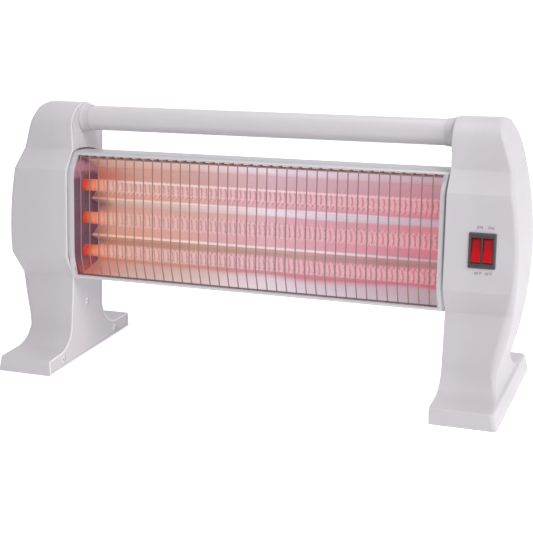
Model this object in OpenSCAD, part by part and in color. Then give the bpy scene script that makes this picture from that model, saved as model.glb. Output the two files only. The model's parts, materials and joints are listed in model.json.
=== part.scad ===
// Electric bar heater: three quartz tubes in a sheet-metal case, hung between two moulded end
// housings that are also its feet, with a carrying tube across the top and a double rocker switch.
// X runs along the tubes, -Y is the front, Z is up, and the origin is on the floor, in the middle.

/* [Overall] */
// Clear distance between the two end housings
span = 392; // [320:1:520]
// Height of the end housings
height = 265; // [240:1:290]
// Depth of each foot, front to back
foot_depth = 174; // [160:1:200]
// Thickness of an end housing where it is fullest
end_w = 68.5; // [64:0.5:80]

/* [End housing profile] */
// Wall of the mouldings
wall = 2.2; // [1.8:0.1:2.6]
// Height of the foot's rim
foot_h = 16; // [15:0.5:19]
// Width of the foot on the floor, along X
foot_w = 61.8; // [58:0.2:66]
// How far the foot's outer side leans in up to its rim
foot_draft = 3.4; // [0:0.2:5]
// Radius of the foot's upright corners
foot_edge_r = 4; // [3:0.5:8]
// Radius of the sweep from the foot's top up into the leg, at the front
sweep_front_r = 26.5; // [20:0.5:30]
// Radius of the same sweep at the back
sweep_back_r = 29.5; // [20:0.5:32]
// Rise of the foot's top from its rim to the sweep
foot_rise = 0.8; // [0.5:0.1:2]
// Height over which the outer side flares out to the foot
side_sweep_h = 19; // [10:1:24]
// How far the front of the leg stands from the middle, at the top of the sweep
shin_y = 38; // [36:0.5:40]
// Distance below the top where the leg ends and the lower slope begins
shoulder_drop = 175.4; // [170:0.2:177]
// How far the front stands from the middle at the shoulder
shoulder_y = 29; // [27:0.5:31]
// Distance of the front panel's lower edge below the top
belly_low_drop = 151.2; // [147:0.2:155]
// How far the front panel's lower edge stands from the middle
belly_low_y = 40.4; // [39:0.2:44]
// Distance of the front panel's upper edge below the top
belly_high_drop = 63; // [60:0.5:67]
// How far the front panel's upper edge stands from the middle
belly_high_y = 31.3; // [30:0.1:34]
// Distance below the top where the upper slope meets the head
head_drop = 44; // [41:0.5:47]
// How far the head's front stands from the middle
head_y = 15.2; // [14:0.1:17]
// Distance of the top of the housing behind the middle
crown_y = 14; // [12:0.5:16]
// Height of the rounding at the front of the head
crown_front_h = 22; // [18:0.5:26]
// Height of the rounding at the back of the head
crown_back_h = 33; // [26:0.5:36]
// How far the back stands from the middle at the top of its straight part
nape_y = 51; // [48:0.5:54]
// How far the back of the leg stands from the middle, at the top of the sweep
calf_y = 29.4; // [28:0.1:31]
// Radius of the bulge of the outer side, seen from the front
bulge_r = 340; // [320:5:480]
// Height where the bulge is fullest
bulge_z = 138; // [128:1:146]
// Height of the rounding at the outer end of the head
crown_side_h = 6.5; // [6:0.5:24]
// Length of that rounding along X
crown_side_w = 6.5; // [6:0.5:24]
// Radius of the long edges between the outer side and the front and back
edge_r = 4.5; // [4:0.5:10]
// How much rounder the front edge is along the leg
leg_edge_r = 5; // [0:0.5:9]
// How much narrower the housing is at its front than at its back
side_draft = 1.2; // [0:0.1:3]
// How much further the leg's front edge is drawn in
leg_draw = 0.7; // [0:0.1:3]
// Length of the rounding on each side of a bend in the front
bend_len = 1.6; // [1:0.1:4]

/* [Inner cover] */
// Thickness of the inner cover
cover_t = 2.2; // [1.8:0.1:2.6]
// Depth of the inner cover below the housing's rim
cover_recess = 0.5; // [0.3:0.1:0.8]
// Gap all round the inner cover
cover_gap = 0.25; // [0.2:0.05:0.35]
// Gap under the arch where the case enters the cover
arch_gap = 1.4; // [1:0.1:2]

/* [Carrying tube] */
// Outer diameter of the carrying tube
handle_d = 25; // [20:0.5:26]
// Wall of the carrying tube
handle_wall = 1; // [0.8:0.1:1.5]
// Distance of its axis behind the middle
handle_y = 14.2; // [13:0.1:15]
// Distance of its axis below the top of the housings
handle_drop = 15.4; // [15.4:0.1:18]

/* [Case] */
// Thickness of the sheet metal
sheet = 1; // [0.8:0.1:1.2]
// How far the case's front lies behind the front of the housings
case_recess = 4.2; // [3.9:0.1:6]
// Width of the case's frame at each end, in front
frame_w = 6.8; // [5:0.1:12]
// Height of the frame's upper lip
lip_top = 1.2; // [1.2:0.1:3]
// Height of the frame's lower lip
lip_low = 3.6; // [3:0.1:5]
// How far the case's underside lies below the housings' shoulder
case_drop = 0; // [0:0.1:2]
// Distance of the case's crest below the top of the housings
crest_drop = 46.6; // [44:0.1:48]
// How far the case's lower front edge stands from the middle, between the housings
toe_y = 30.5; // [26:0.5:31]
// Length of the rounding on each side of a bend in the case's front
case_bend_len = 6.5; // [2:0.5:8]
// Radius of the case's arched top
arch_r = 131; // [110:1:160]
// How far the case's front edge lies below the crest
brow_drop = 1.8; // [1:0.1:4]
// Distance of the crest in front of the middle
crest_y = 5; // [0:1:8]
// Distance of the case's back from the back of the housings
case_back_gap = 6.8; // [6:0.1:9]
// How far the case enters each housing
case_reach = 8; // [7:0.5:10]

/* [Grille] */
// Distance from wire to wire
wire_pitch = 10.1; // [8:0.1:14]
// Diameter of a grille wire
wire_d = 1.4; // [1.2:0.1:2]
// Diameter of the two rods that carry the wires
rod_d = 2.2; // [2:0.1:3]

/* [Quartz tubes] */
// Distance from tube to tube
tube_pitch = 34; // [31:0.5:36]
// Height of the middle tube above the case's underside
tube_rise = 59.3; // [57:0.1:63]
// Distance of the middle tube in front of the middle
tube_y = 8; // [6:0.5:10]
// Outer diameter of a quartz tube
tube_d = 12; // [10:0.5:14]
// Wall of a quartz tube
tube_wall = 1.1; // [0.8:0.1:1.4]
// Diameter of the heating coil, to the middle of its wire
coil_d = 7.8; // [5:0.1:8]
// Diameter of the coil's wire
coil_wire_d = 1; // [0.6:0.1:1.2]
// Curls of one heating coil
coil_turns = 30; // [15:1:31]

/* [Switch] */
// Width of the switch's frame
bezel_w = 25; // [24:0.5:27]
// Height of the switch's frame
bezel_h = 32.6; // [31:0.2:36]
// Thickness of the switch's frame
bezel_t = 1.8; // [1.2:0.1:2.5]
// Width of one rocker
rocker_w = 8.4; // [7:0.1:8.6]
// Height over both ends of one rocker
rocker_h = 22.6; // [18:0.2:23]
// Travel of a rocker from ON to OFF, in degrees
rocker_travel = 18; // [12:1:20]
// Distance of the switch's centre from the housing's inner face
switch_x = 34.6; // [33:0.1:38]
// Distance of the switch's centre below the top
switch_drop = 113; // [105:0.5:119]

/* [Cord gland] */
// Diameter of the hole for the supply cord
gland_bore_d = 7.4; // [6:0.1:9]
// Height of the gland
gland_z = 60; // [57:1:76]

/* [Hidden] */
EPS = 0.01;
FINE = 96;                       // facets of a round that shows
half = span / 2;
shoulder_z = height - shoulder_drop;
belly_low_z = height - belly_low_drop;
belly_high_z = height - belly_high_drop;
head_z = height - head_drop;
case_low_z = shoulder_z - case_drop;
crest_z = height - crest_drop;
tube_z = case_low_z + tube_rise;
switch_z = height - switch_drop;
lean_front = atan((belly_low_y - belly_high_y) / (belly_high_z - belly_low_z));
foot_half = foot_depth / 2;
foot_bevel = 2.4;
sweep_steps = 6;
crown_steps = 7;
edge_steps = 4;
clearance = 0.3;                 // loose fit between fixed pieces
run_gap = 0.04;                  // radial clearance of a pin in its hole

// ---- plane geometry -------------------------------------------------------------------------

function unit(v) = v / norm(v);
function left_of(a, b) = let (d = unit(b - a)) [-d[1], d[0]];
function mitre(m, n) = (m + n) / (1 + m * n);
// Height z is mapped to the place on the straight line through p and q
function on_line(p, q, z) = [p[0] + (q[0] - p[0]) * (z - p[1]) / (q[1] - p[1]), z];

// A path moved to its left by t
function shift_path(p, t) = let (n = len(p) - 1) [
    for (i = [0:n])
        i == 0 ? p[0] + t * left_of(p[0], p[1])
        : i == n ? p[n] + t * left_of(p[n - 1], p[n])
        : p[i] + t * mitre(left_of(p[i - 1], p[i]), left_of(p[i], p[i + 1]))
];

// A closed, counter-clockwise outline shrunk by t
function shrink(p, t) = let (n = len(p)) [
    for (i = [0:n - 1])
        let (a = p[(i + n - 1) % n], b = p[i], c = p[(i + 1) % n])
            b + t * mitre(left_of(a, b), left_of(b, c))
];

function reversed(p) = [for (i = [len(p) - 1:-1:0]) p[i]];

function mix(a, b, s) = a + (b - a) * s;

// The rounded corner at b between a and c, which begins and ends at reach from b
function soft_corner(a, b, c, reach, n) =
    let (p = b + reach * unit(a - b), q = b + reach * unit(c - b))
        [for (i = [0:n]) mix(mix(p, b, i / n), mix(b, q, i / n), i / n)];

// A strip of thickness t to the left of a path, as a closed outline
function strip(p, t) = concat(p, reversed(shift_path(p, t)));

// ---- outline of an end housing, seen along X: [y, z] -----------------------------------------

sweep_low = foot_h + foot_rise;
shoulder = [-shoulder_y, shoulder_z];
belly_low = [-belly_low_y, belly_low_z];
belly_high = [-belly_high_y, belly_high_z];
head = [-head_y, head_z];
shin_lean = atan((shin_y - shoulder_y) / (shoulder_z - sweep_low - sweep_front_r));
calf_z = sweep_low + sweep_back_r;
nape_z = height - crown_back_h;
calf_lean = atan((nape_y - calf_y) / (nape_z - calf_z));
function sweep_point(neck_y, r, lean, s, side) =
    let (a = s * (90 - lean))
        [side * (neck_y + r * (1 - sin(a))), sweep_low + r * (1 - cos(a))];

crown_arc = 82;                  // degrees of the head's rounding, up to its flat top

function crown_point(reach, drop, a, side) =
    [crown_y + side * reach * cos(a), height - drop * (1 - sin(a) / sin(crown_arc))];

crown_angles = [for (i = [0:crown_steps]) crown_arc * i / crown_steps];
crown_front_reach = crown_y + head_y - 0.7;
crown_front = crown_point(crown_front_reach, crown_front_h, 0, -1);

shin_top = sweep_point(shin_y, sweep_front_r, shin_lean, 1, -1);
bend_steps = 2;
// The front from the leg's sweep to the head, and the front panel's plane
front_bends = concat(
    [for (i = [1:3]) mix(shin_top, shoulder, i / 4)],
    soft_corner(shin_top, shoulder, belly_low, bend_len, bend_steps),
    soft_corner(shoulder, belly_low, belly_high, bend_len, bend_steps),
    [for (i = [1:4]) mix(belly_low, belly_high, i / 5)],
    soft_corner(belly_low, belly_high, head, bend_len, bend_steps),
    soft_corner(belly_high, head, crown_front, bend_len, bend_steps)
);

function panel_y(z) = on_line(belly_low, belly_high, z)[0];

function back_at(z) = [calf_y + (z - calf_z) * tan(calf_lean), z];

front_path = concat(
    [[-foot_half, 0], [-foot_half, foot_h - foot_bevel], [-foot_half + foot_bevel, foot_h]],
    [for (i = [0:sweep_steps])
        sweep_point(shin_y, sweep_front_r, shin_lean, i / sweep_steps, -1)],
    front_bends,
    [for (a = crown_angles) crown_point(crown_front_reach, crown_front_h, a, -1)]
);
back_path = concat(
    [[foot_half, 0], [foot_half, foot_h - foot_bevel], [foot_half - foot_bevel, foot_h]],
    [for (i = [0:sweep_steps])
        sweep_point(calf_y, sweep_back_r, calf_lean, i / sweep_steps, 1)],
    [for (p = front_bends) back_at(p[1])],
    [for (a = crown_angles) crown_point(nape_y - crown_y, crown_back_h, a, 1)]
);

// How far the outer side stands from the housing's inner face at height z
function bulge_x(z) = end_w - bulge_r + sqrt(pow(bulge_r, 2) - pow(z - bulge_z, 2));
crown_side_z = height - crown_side_h;
side_sweep_z = foot_h + side_sweep_h;
function side_x(z) =
    z <= foot_h - foot_bevel ? foot_w - foot_draft * z / (foot_h - foot_bevel)
    : z <= foot_h ? foot_w - foot_draft - (z - foot_h + foot_bevel)
    : z < side_sweep_z ?
        let (
            s = (z - foot_h) / side_sweep_h,
            neck = bulge_x(side_sweep_z),
            flare = foot_w - foot_draft - foot_bevel - neck
        ) neck + flare * (1 - sqrt(1 - pow(1 - s, 2)))
    : z <= crown_side_z ? bulge_x(z)
    : let (s = min((z - crown_side_z) / (crown_side_h + EPS), 1))
        bulge_x(crown_side_z) - crown_side_w * (1 - sqrt(1 - pow(s, 2)));
// The same for a surface t further in, which stays t away where the side curves into the top
function side_in(z, t) =
    min(side_x(z) - t, side_x(min(z + 0.7 * t, height)) - 0.7 * t);

function smooth_share(s) = sin(90 * min(max(s, 0), 1));
// 1 along the leg, and 0 near the foot and above the lower slope, with smooth ends
leg_start = 14;                  // height above the foot where the leg's own shape sets in
leg_blend = 24;
belly_blend = 44;
function leg_share(z) = smooth_share(min(
    (z - foot_h - leg_start) / leg_blend, (belly_low_z + 4 - z) / belly_blend));
// Radius of the long edges at height z
function long_edge_r(z) = mix(foot_edge_r, edge_r, smooth_share((z - foot_h) / leg_start));
// How far the outer side's front edge is drawn in at height z
function front_draw(z) =
    side_draft * smooth_share((z - foot_h) / leg_start) + leg_draw * leg_share(z);

// One ring of the housing between a front point f and a back point b, drawn in by t
function ring(f, b, t, x_in) =
    let (
        reach = norm(b - f),
        d = (b - f) / reach,
        share = leg_share(f[1]),
        rf = min(long_edge_r(f[1]) + share * leg_edge_r - t, 0.42 * reach),
        rb = min(long_edge_r(b[1]) - t, 0.42 * reach),
        xf = side_in(f[1], t) - front_draw(f[1]),
        xb = side_in(b[1], t)
    ) concat(
        [[x_in, f[0], f[1]]],
        [for (i = [0:edge_steps])
            let (a = 90 * i / edge_steps, p = f + d * rf * (1 - cos(a)))
                [xf - rf * (1 - sin(a)), p[0], p[1]]],
        [for (i = [edge_steps:-1:0])
            let (a = 90 * i / edge_steps, p = b - d * rb * (1 - cos(a)))
                [xb - rb * (1 - sin(a)), p[0], p[1]]],
        [[x_in, b[0], b[1]]]
    );

// A solid through rings of n points each, all turning the same way
module loft(rings) {
    n = len(rings[0]);
    last = len(rings) - 1;
    polyhedron(
        points = [for (r = rings) each r],
        faces = concat(
            [[for (j = [0:n - 1]) j]],
            [for (i = [0:last - 1], j = [0:n - 1])
                let (k = (j + 1) % n) each [
                    [i * n + j, (i + 1) * n + j, (i + 1) * n + k],
                    [i * n + j, (i + 1) * n + k, i * n + k]
                ]],
            [[for (j = [n - 1:-1:0]) last * n + j]]
        ),
        convexity = 6
    );
}

// The housing's body, drawn in by t, with its inner face at x_in and its floor raised by t
module housing_body(t, x_in) {
    f = shift_path(front_path, -t);
    b = shift_path(back_path, t);
    loft([for (i = [0:len(f) - 1])
        i == 0 ? ring([f[0][0], t], [b[0][0], t], t, x_in) : ring(f[i], b[i], t, x_in)]);
}

// ---- places -----------------------------------------------------------------------------------

handle_z = height - handle_drop;
cover_back = half + cover_recess + cover_t;
tubes = [for (k = [1, 0, -1])
    [-tube_y + k * tube_pitch * tan(lean_front), tube_z + k * tube_pitch]];
screw_d = 3.8;
screw_head_d = 7;
cup_d = 10;
cup_depth = 4.7;
cup_floor = 2;
cup_back = half + cover_recess + cup_depth;
screw_seat = cup_back - cup_floor;
screw_len = 10;
cover_screws = [[-2, 55.5], [-57.5, 8.1], [55, 8.1]];

// A solid of an outline [y, z], from x0 along X
module along_x(x0, length) {
    translate([x0, 0, 0]) rotate([90, 0, 90]) linear_extrude(length) children();
}

// A round bar along X
module bar_x(x0, x1, at, r) {
    translate([x0, at[0], at[1]]) rotate([0, 90, 0]) cylinder(h = x1 - x0, r = r, $fn = FINE);
}

// ---- outline of the case -----------------------------------------------------------------------

case_bends = shift_path([shoulder, belly_low, belly_high, head], -case_recess);
function arch_z(y) = crest_z - arch_r + sqrt(pow(arch_r, 2) - pow(y + crest_y, 2));
brow_z = crest_z - brow_drop;

// The case's front between heights low and high, with n steps in each bend
function case_front(low, high, n) = concat(
    [on_line(case_bends[0], case_bends[1], low)],
    soft_corner(case_bends[0], case_bends[1], case_bends[2], case_bend_len, n),
    soft_corner(case_bends[1], case_bends[2], case_bends[3], case_bend_len, n),
    [on_line(case_bends[2], case_bends[3], high)]
);

case_face = case_front(case_low_z, brow_z, 4);
brow = case_face[len(case_face) - 1];
function case_back_at(z) = back_at(z)[0] - case_back_gap / cos(calf_lean);
case_top_y = case_back_at(arch_z(case_back_at(head_z)));
arch_steps = 6;
case_outline = concat(
    [case_face[0], [case_back_at(case_low_z), case_low_z]],
    [for (i = [0:arch_steps - 1])
        let (y = mix(case_top_y, brow[0], i / arch_steps)) [y, arch_z(y)]],
    [for (i = [len(case_face) - 1:-1:1]) case_face[i]]
);
// Between the housings the case's lower front stands further out than where it enters them
toe_half = half - clearance;
toe_bends = [[-toe_y, case_low_z], case_bends[1], case_bends[2], case_bends[3]];
toe_face = concat(
    soft_corner(toe_bends[0], toe_bends[1], toe_bends[2], case_bend_len, 4),
    soft_corner(toe_bends[1], toe_bends[2], toe_bends[3], case_bend_len, 4),
    [brow]
);
toe_outline = concat(
    [toe_bends[0]], [for (i = [1:arch_steps + 1]) case_outline[i]],
    [for (i = [len(toe_face) - 1:-1:0]) toe_face[i]]
);
window_half = half - frame_w;
case_half = half + case_reach;
end_wall_x = window_half + 0.2;
cap_x = end_wall_x + sheet;

// ---- end housings ---------------------------------------------------------------------------------

module cover_outline() {
    f = shift_path(front_path, -(wall + cover_gap));
    b = shift_path(back_path, wall + cover_gap);
    low = wall + cover_gap;
    n = len(f) - 1;
    polygon(concat(
        [[b[0][0], low]], [for (i = [1:n]) b[i]],
        [for (i = [n:-1:1]) f[i]], [[f[0][0], low]]
    ));
}

// Posts inside a housing: for the cover screws, and the one that the carrying tube ends on
module housing_posts() {
    for (p = cover_screws)
        bar_x(cup_back, half + end_w, p, screw_d / 2 + 2);
    bar_x(plug_seat_x, half + end_w, [handle_y, handle_z], 6);
}

module housing_shell() {
    difference() {
        translate([half, 0, 0]) housing_body(0, 0);
        difference() {
            translate([half, 0, 0]) housing_body(wall, -1);
            housing_posts();
            children();
        }
        for (p = cover_screws)
            bar_x(half, screw_seat + screw_len + 1, p, screw_d / 2 + run_gap);
    }
}

module left_outer_shell() {
    color("gainsboro") mirror([1, 0, 0]) housing_shell();
}

module right_outer_shell() {
    color("gainsboro") difference() {
        housing_shell() {
            bar_x(block_x1, half + end_w, block_screw_at, 4);
            bar_x(tip_x1, half + end_w, tip_at, 4);
        }
        switch_place() translate([-cutout_w / 2, -wall, -cutout_h / 2])
            cube([cutout_w, 3 * wall, cutout_h]);
        gland_place()
            cylinder(h = 4 * wall, r = gland_neck_d / 2 + run_gap, center = true, $fn = FINE);
        bar_x(block_x1 - 1, block_x1 + 9, block_screw_at, block_screw_d / 2 + run_gap);
        bar_x(tip_x1 - 1, tip_x1 + 7, tip_at, block_screw_d / 2 + run_gap);
    }
}

case_gap = 0.3;
pad_t = 2.2;
pad_x1 = case_half + 0.6;
pad_y = [-18, 18];
case_screw_x = cover_back + (pad_x1 - cover_back) * 0.55;
case_screw_ys = [-11, 12];

// The hole in a cover that the case goes through, with more room over its arched top
function case_hole() = [for (p = shrink(case_outline, -case_gap))
    [p[0], p[1] > belly_high_z + 4 ? p[1] + arch_gap - case_gap : p[1]]];

handle_gap = 0.2;
collar_len = 2;
collar_nose = 8;
collar_pad_t = 0.8;              // how far the pad round the collar stands out of the housing
collar_rim = 0.6;                // least wall of the collar, and its distance from the top

// The shouldered ring that carries the tube's end, on the side towards the middle
module handle_collar() {
    wide = height - handle_z - collar_rim;
    thin = handle_d / 2 + collar_rim;
    steps = 6;
    bar_x(half - clearance - EPS, half + cover_recess + 1, [handle_y, handle_z], wide - wall - 0.5);
    translate([half - clearance, handle_y, handle_z]) rotate([0, -90, 0])
        rotate_extrude($fn = FINE) polygon(concat(
            [[0, 0], [wide, 0]],
            [for (i = [0:steps]) let (a = 90 * i / steps)
                [wide - (wide - thin) * sin(a), collar_len + collar_nose * (1 - cos(a))]],
            [[0, collar_len + collar_nose]]
        ));
}

// The raised top of the cover, from the level of the tube's underside up
module collar_pad() {
    along_x(half - collar_pad_t, collar_pad_t + cover_recess + cover_t) intersection() {
        cover_outline();
        translate([-foot_half, handle_z - handle_d / 2 - collar_rim]) square(foot_depth);
    }
}

module inner_cover() {
    difference() {
        union() {
            along_x(half + cover_recess, cover_t) cover_outline();
            collar_pad();
            for (p = cover_screws) bar_x(half + cover_recess, cup_back, p, cup_d / 2);
            handle_collar();
            translate([half + cover_recess, pad_y[0], case_low_z - pad_t])
                cube([pad_x1 - half - cover_recess, pad_y[1] - pad_y[0], pad_t]);
        }
        difference() {
            along_x(half, cover_t + 2) polygon(case_hole());
            translate([half, pad_y[0], case_low_z - pad_t])
                cube([cover_t + 3, pad_y[1] - pad_y[0], pad_t]);
        }
        bar_x(half - 20, cover_back + 1, [handle_y, handle_z], handle_d / 2 + handle_gap);
        for (p = cover_screws) {
            bar_x(half, screw_seat, p, screw_head_d / 2 + 0.4);
            bar_x(half, cup_back + 1, p, screw_d / 2 + 0.2);
        }
        for (y = case_screw_ys)
            translate([case_screw_x, y, case_low_z - pad_t - 1])
                cylinder(h = pad_t + 2, d = case_screw_d + 0.2, $fn = FINE);
    }
}

module left_inner_cover() {
    color("whitesmoke") mirror([1, 0, 0]) inner_cover();
}

module right_inner_cover() {
    color("whitesmoke") inner_cover();
}

// A screw along X with its head towards the middle of the heater
module screw_x(x_head, at, length, d, head_d, head_h) {
    difference() {
        union() {
            bar_x(x_head, x_head + head_h, at, head_d / 2);
            bar_x(x_head + head_h - EPS, x_head + head_h + length, at, d / 2);
        }
        for (a = [0, 90])
            translate([x_head, at[0], at[1]]) rotate([a, 0, 0])
                translate([-1, -head_d * 0.3, -0.4]) cube([1.9, head_d * 0.6, 0.8]);
    }
}

module cover_screw_set() {
    head_h = 2.2;
    for (p = cover_screws)
        screw_x(screw_seat - head_h, p, screw_len, screw_d, screw_head_d, head_h);
}

module left_cover_screws() {
    color("silver") mirror([1, 0, 0]) cover_screw_set();
}

module right_cover_screws() {
    color("silver") cover_screw_set();
}

case_screw_d = 3;

// Sheet-metal screws that go up through the cover's pad into the case's underside
module case_screw_set() {
    for (y = case_screw_ys) translate([case_screw_x, y, case_low_z - pad_t]) {
        translate([0, 0, -1.8]) cylinder(h = 1.8, d = 5.4, $fn = FINE);
        translate([0, 0, -EPS]) cylinder(h = pad_t + sheet + 2, d = case_screw_d, $fn = FINE);
    }
}

module left_case_screws() {
    color("silver") mirror([1, 0, 0]) case_screw_set();
}

module right_case_screws() {
    color("silver") case_screw_set();
}

// ---- carrying tube -------------------------------------------------------------------------------

handle_reach = 15;               // how far the tube enters each housing
plug_flange = 2.5;
plug_seat_x = half + handle_reach + plug_flange;

module handle_tube() {
    color("lavender") difference() {
        bar_x(-half - handle_reach, half + handle_reach, [handle_y, handle_z], handle_d / 2);
        bar_x(-half - handle_reach - 1, half + handle_reach + 1, [handle_y, handle_z],
              handle_d / 2 - handle_wall);
    }
}

module handle_plug() {
    at = [handle_y, handle_z];
    bar_x(half + handle_reach - 14, half + handle_reach + EPS, at,
          handle_d / 2 - handle_wall - 0.1);
    bar_x(half + handle_reach, plug_seat_x, at, handle_d / 2);
}

module left_handle_plug() {
    color("white") mirror([1, 0, 0]) handle_plug();
}

module right_handle_plug() {
    color("white") handle_plug();
}

// ---- case, end walls, reflector and grille ----------------------------------------------------------

return_at = [case_back_at(tube_z) - sheet - 5.5, tube_z];
return_d = 2.8;
spacer_zs = [tube_z + tube_pitch / 2, tube_z - tube_pitch / 2];
spacer_ys = [for (z = spacer_zs) -tube_y + (z - tube_z) * tan(lean_front)];

// Vents in the case's back: rows of upright slots
vent_pitch = 20;
vent_w = 4;
vent_h = 16;
vent_rise = 38;
vent_rows = [for (k = [-1:1]) tube_z + 11 + k * vent_rise];

module heater_case() {
    front_y = -belly_low_y - 5;
    opening_low = case_low_z + lip_low;
    color("silver") difference() {
        union() {
            along_x(-case_half, 2 * case_half) polygon(case_outline);
            along_x(-toe_half, 2 * toe_half) polygon(toe_outline);
        }
        along_x(-case_half - 1, 2 * case_half + 2) polygon(shrink(case_outline, sheet));
        along_x(-toe_half + sheet, 2 * (toe_half - sheet)) polygon(shrink(toe_outline, sheet));
        translate([-window_half, front_y, opening_low])
            cube([2 * window_half, brow[0] + 6 - front_y, brow_z - lip_top - opening_low]);
        for (s = [-1, 1], y = case_screw_ys)
            translate([s * case_screw_x, y, case_low_z - 1])
                cylinder(h = sheet + 2, r = case_screw_d / 2 + run_gap, $fn = FINE);
        for (z = vent_rows) {
            n = floor((half - 20) / vent_pitch);
            for (i = [-n:n])
                translate([i * vent_pitch - vent_w / 2, case_back_at(z) - 4, z - vent_h / 2])
                    cube([vent_w, 8, vent_h]);
        }
    }
}

module end_wall() {
    inside = shrink(case_outline, sheet + 0.15);
    flange = 8;
    difference() {
        along_x(end_wall_x, flange) polygon(inside);
        along_x(cap_x, flange) polygon(shrink(inside, sheet));
        for (t = tubes) bar_x(end_wall_x - 1, cap_x + 1, t, tube_d / 2 + 0.3);
        for (i = [0, 1]) bar_x(end_wall_x - 1, cap_x + 1, [spacer_ys[i], spacer_zs[i]],
                               clamp_screw_d / 2 + run_gap);
        bar_x(end_wall_x - 1, cap_x + 1, return_at, return_d / 2 + 0.25);
    }
}

module left_end_wall() {
    color("lightgray") mirror([1, 0, 0]) end_wall();
}

module right_end_wall() {
    color("lightgray") difference() {
        end_wall();
        bar_x(end_wall_x - 1, cap_x + 1, earth_at, 1.5 + run_gap);
    }
}

mirror_t = 0.6;
channel_depth = 27;
fold_h = 7;                      // height over which a fold between two channels falls back
ridge_depth = 13;
ridge_zs = [tube_z + tube_pitch / 2, tube_z - 0.65 * tube_pitch];
mirror_half = end_wall_x - 0.05;

// The folded mirror behind the tubes, from its upper edge to its lower one: [y, z]
function mirror_path() =
    let (
        mids = [for (z = ridge_zs) [-tube_y + (z - tube_z) * tan(lean_front) + ridge_depth, z]],
        backs = [for (z = [
            crest_z - 22, ridge_zs[0] + fold_h, ridge_zs[0] - fold_h,
            ridge_zs[1] + fold_h, ridge_zs[1] - fold_h, case_low_z + fold_h + 1
        ]) [-tube_y + (z - tube_z) * tan(lean_front) + channel_depth, z]]
    ) [
        brow + [5, -sheet - 1.2], backs[0], backs[1], mids[0], backs[2], backs[3], mids[1],
        backs[4], backs[5], [case_outline[0][0] + 5, case_low_z + sheet + 1.2]
    ];

module reflector() {
    color("lightpink") along_x(-mirror_half, 2 * mirror_half)
        polygon(strip(mirror_path(), mirror_t));
}

wire_n = floor((window_half - 6) / wire_pitch);
wire_in = sheet + 0.05 + wire_d / 2;
weld = 0.3;                      // how deep a wire sinks into a rod
wire_bend_len = 1.5;
wire_bends = shift_path(toe_bends, -wire_in);
wire_foot = 1.2;                 // height of a wire's lower end above the case's underside
rod_in = 1;                      // how far along a wire its rods lie
// A wire stays straight above the panel, then turns back under the case's upper lip
wire_top = on_line(wire_bends[1], wire_bends[2], brow_z - 0.4);
wire_end = brow + [2.6, -lip_top - wire_d / 2 - 0.7];
wire_path = concat(
    [on_line(wire_bends[0], wire_bends[1], case_low_z + wire_foot)],
    soft_corner(wire_bends[0], wire_bends[1], wire_bends[2], case_bend_len, 3),
    soft_corner(wire_bends[1], wire_top, wire_end, wire_bend_len, 2),
    [wire_end]
);
wire_last = len(wire_path) - 1;
wire_sides = 6;

// Points of a round tube of n sides along a path; ref is never along the path
function tube_rings(path, r, n, ref) = let (last = len(path) - 1) [
    for (i = [0:last])
        let (
            t = unit(path[min(i + 1, last)] - path[max(i - 1, 0)]),
            u = unit(cross(t, ref)),
            v = cross(t, u)
        ) [for (j = [0:n - 1]) path[i] + r * (cos(360 * j / n) * u + sin(360 * j / n) * v)]
];

module grille_wire(x) {
    path = [for (p = wire_path) [x, p[0], p[1]]];
    loft(tube_rings(path, wire_d / 2, wire_sides, [1, 0, 0]));
}

// A rod's place, on the inner side of the wire from a to b and s along it
function rod_at(a, b, s, side) =
    a + s * unit(b - a) + side * (wire_d / 2 + rod_d / 2 - weld) * left_of(a, b);

module wire_grille() {
    low = rod_at(wire_path[0], wire_path[1], rod_in, -1);
    top = rod_at(wire_path[wire_last], wire_path[wire_last - 1], rod_in, 1);
    color("tan") {
        for (i = [-wire_n:wire_n]) grille_wire(i * wire_pitch);
        bar_x(-window_half, window_half, low, rod_d / 2);
        bar_x(-window_half, window_half, top, rod_d / 2);
    }
}

// ---- quartz tubes and what holds them ----------------------------------------------------------------

seat_depth = 8.5;
cap_len = 16;
cap_d = 18;
neck_d = 9;
clamp_head_h = 1.3;
neck_len = sheet + clamp_head_h + clearance;
stud_d = 3;
stud_head_d = 5.6;
stud_head_t = 1.5;
tube_end = cap_x + seat_depth - 0.2;
stud_x0 = cap_x + seat_depth - stud_head_t;
cap_end = cap_x + cap_len;
neck_end = cap_end + neck_len;
clamp_screw_d = 3;

module quartz_tube(t) {
    color([1, 0.75, 0.7, 0.5]) difference() {
        bar_x(-tube_end, tube_end, t, tube_d / 2);
        bar_x(-tube_end - 1, tube_end + 1, t, tube_d / 2 - tube_wall);
    }
}

module quartz_tube_top() {
    quartz_tube(tubes[0]);
}

module quartz_tube_middle() {
    quartz_tube(tubes[1]);
}

module quartz_tube_bottom() {
    quartz_tube(tubes[2]);
}

curl_rings = 8;
coil_sides = 6;
coil_run = 10;                   // straight wire and lead-in at each end of a coil
coil_length = 2 * (stud_x0 - coil_run);
coil_last = coil_turns * curl_rings;

// Middle line of a coil on the axis t: straight ends on the axis, and curls between
function coil_path(t) = concat(
    [[-stud_x0, t[0], t[1]], [-stud_x0 + 1.5 * coil_wire_d, t[0], t[1]]],
    [for (i = [0:coil_last])
        let (
            a = 360 * i / curl_rings,
            grow = min(1, (i + 0.5) / curl_rings, (coil_last - i + 0.5) / curl_rings),
            r = grow * coil_d / 2
        ) [-coil_length / 2 + coil_length * i / coil_last, t[0] + r * cos(a), t[1] + r * sin(a)]],
    [[stud_x0 - 1.5 * coil_wire_d, t[0], t[1]], [stud_x0, t[0], t[1]]]
);

// Least distance between two stretches of a path that aren't neighbours, less the tube's diameter
function least_gap(p, d) = min([
    for (i = [0:len(p) - 1 - 5]) for (j = [i + 5:min(i + 2 * curl_rings, len(p) - 1)])
        norm(p[i] - p[j])
]) - d;

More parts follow.
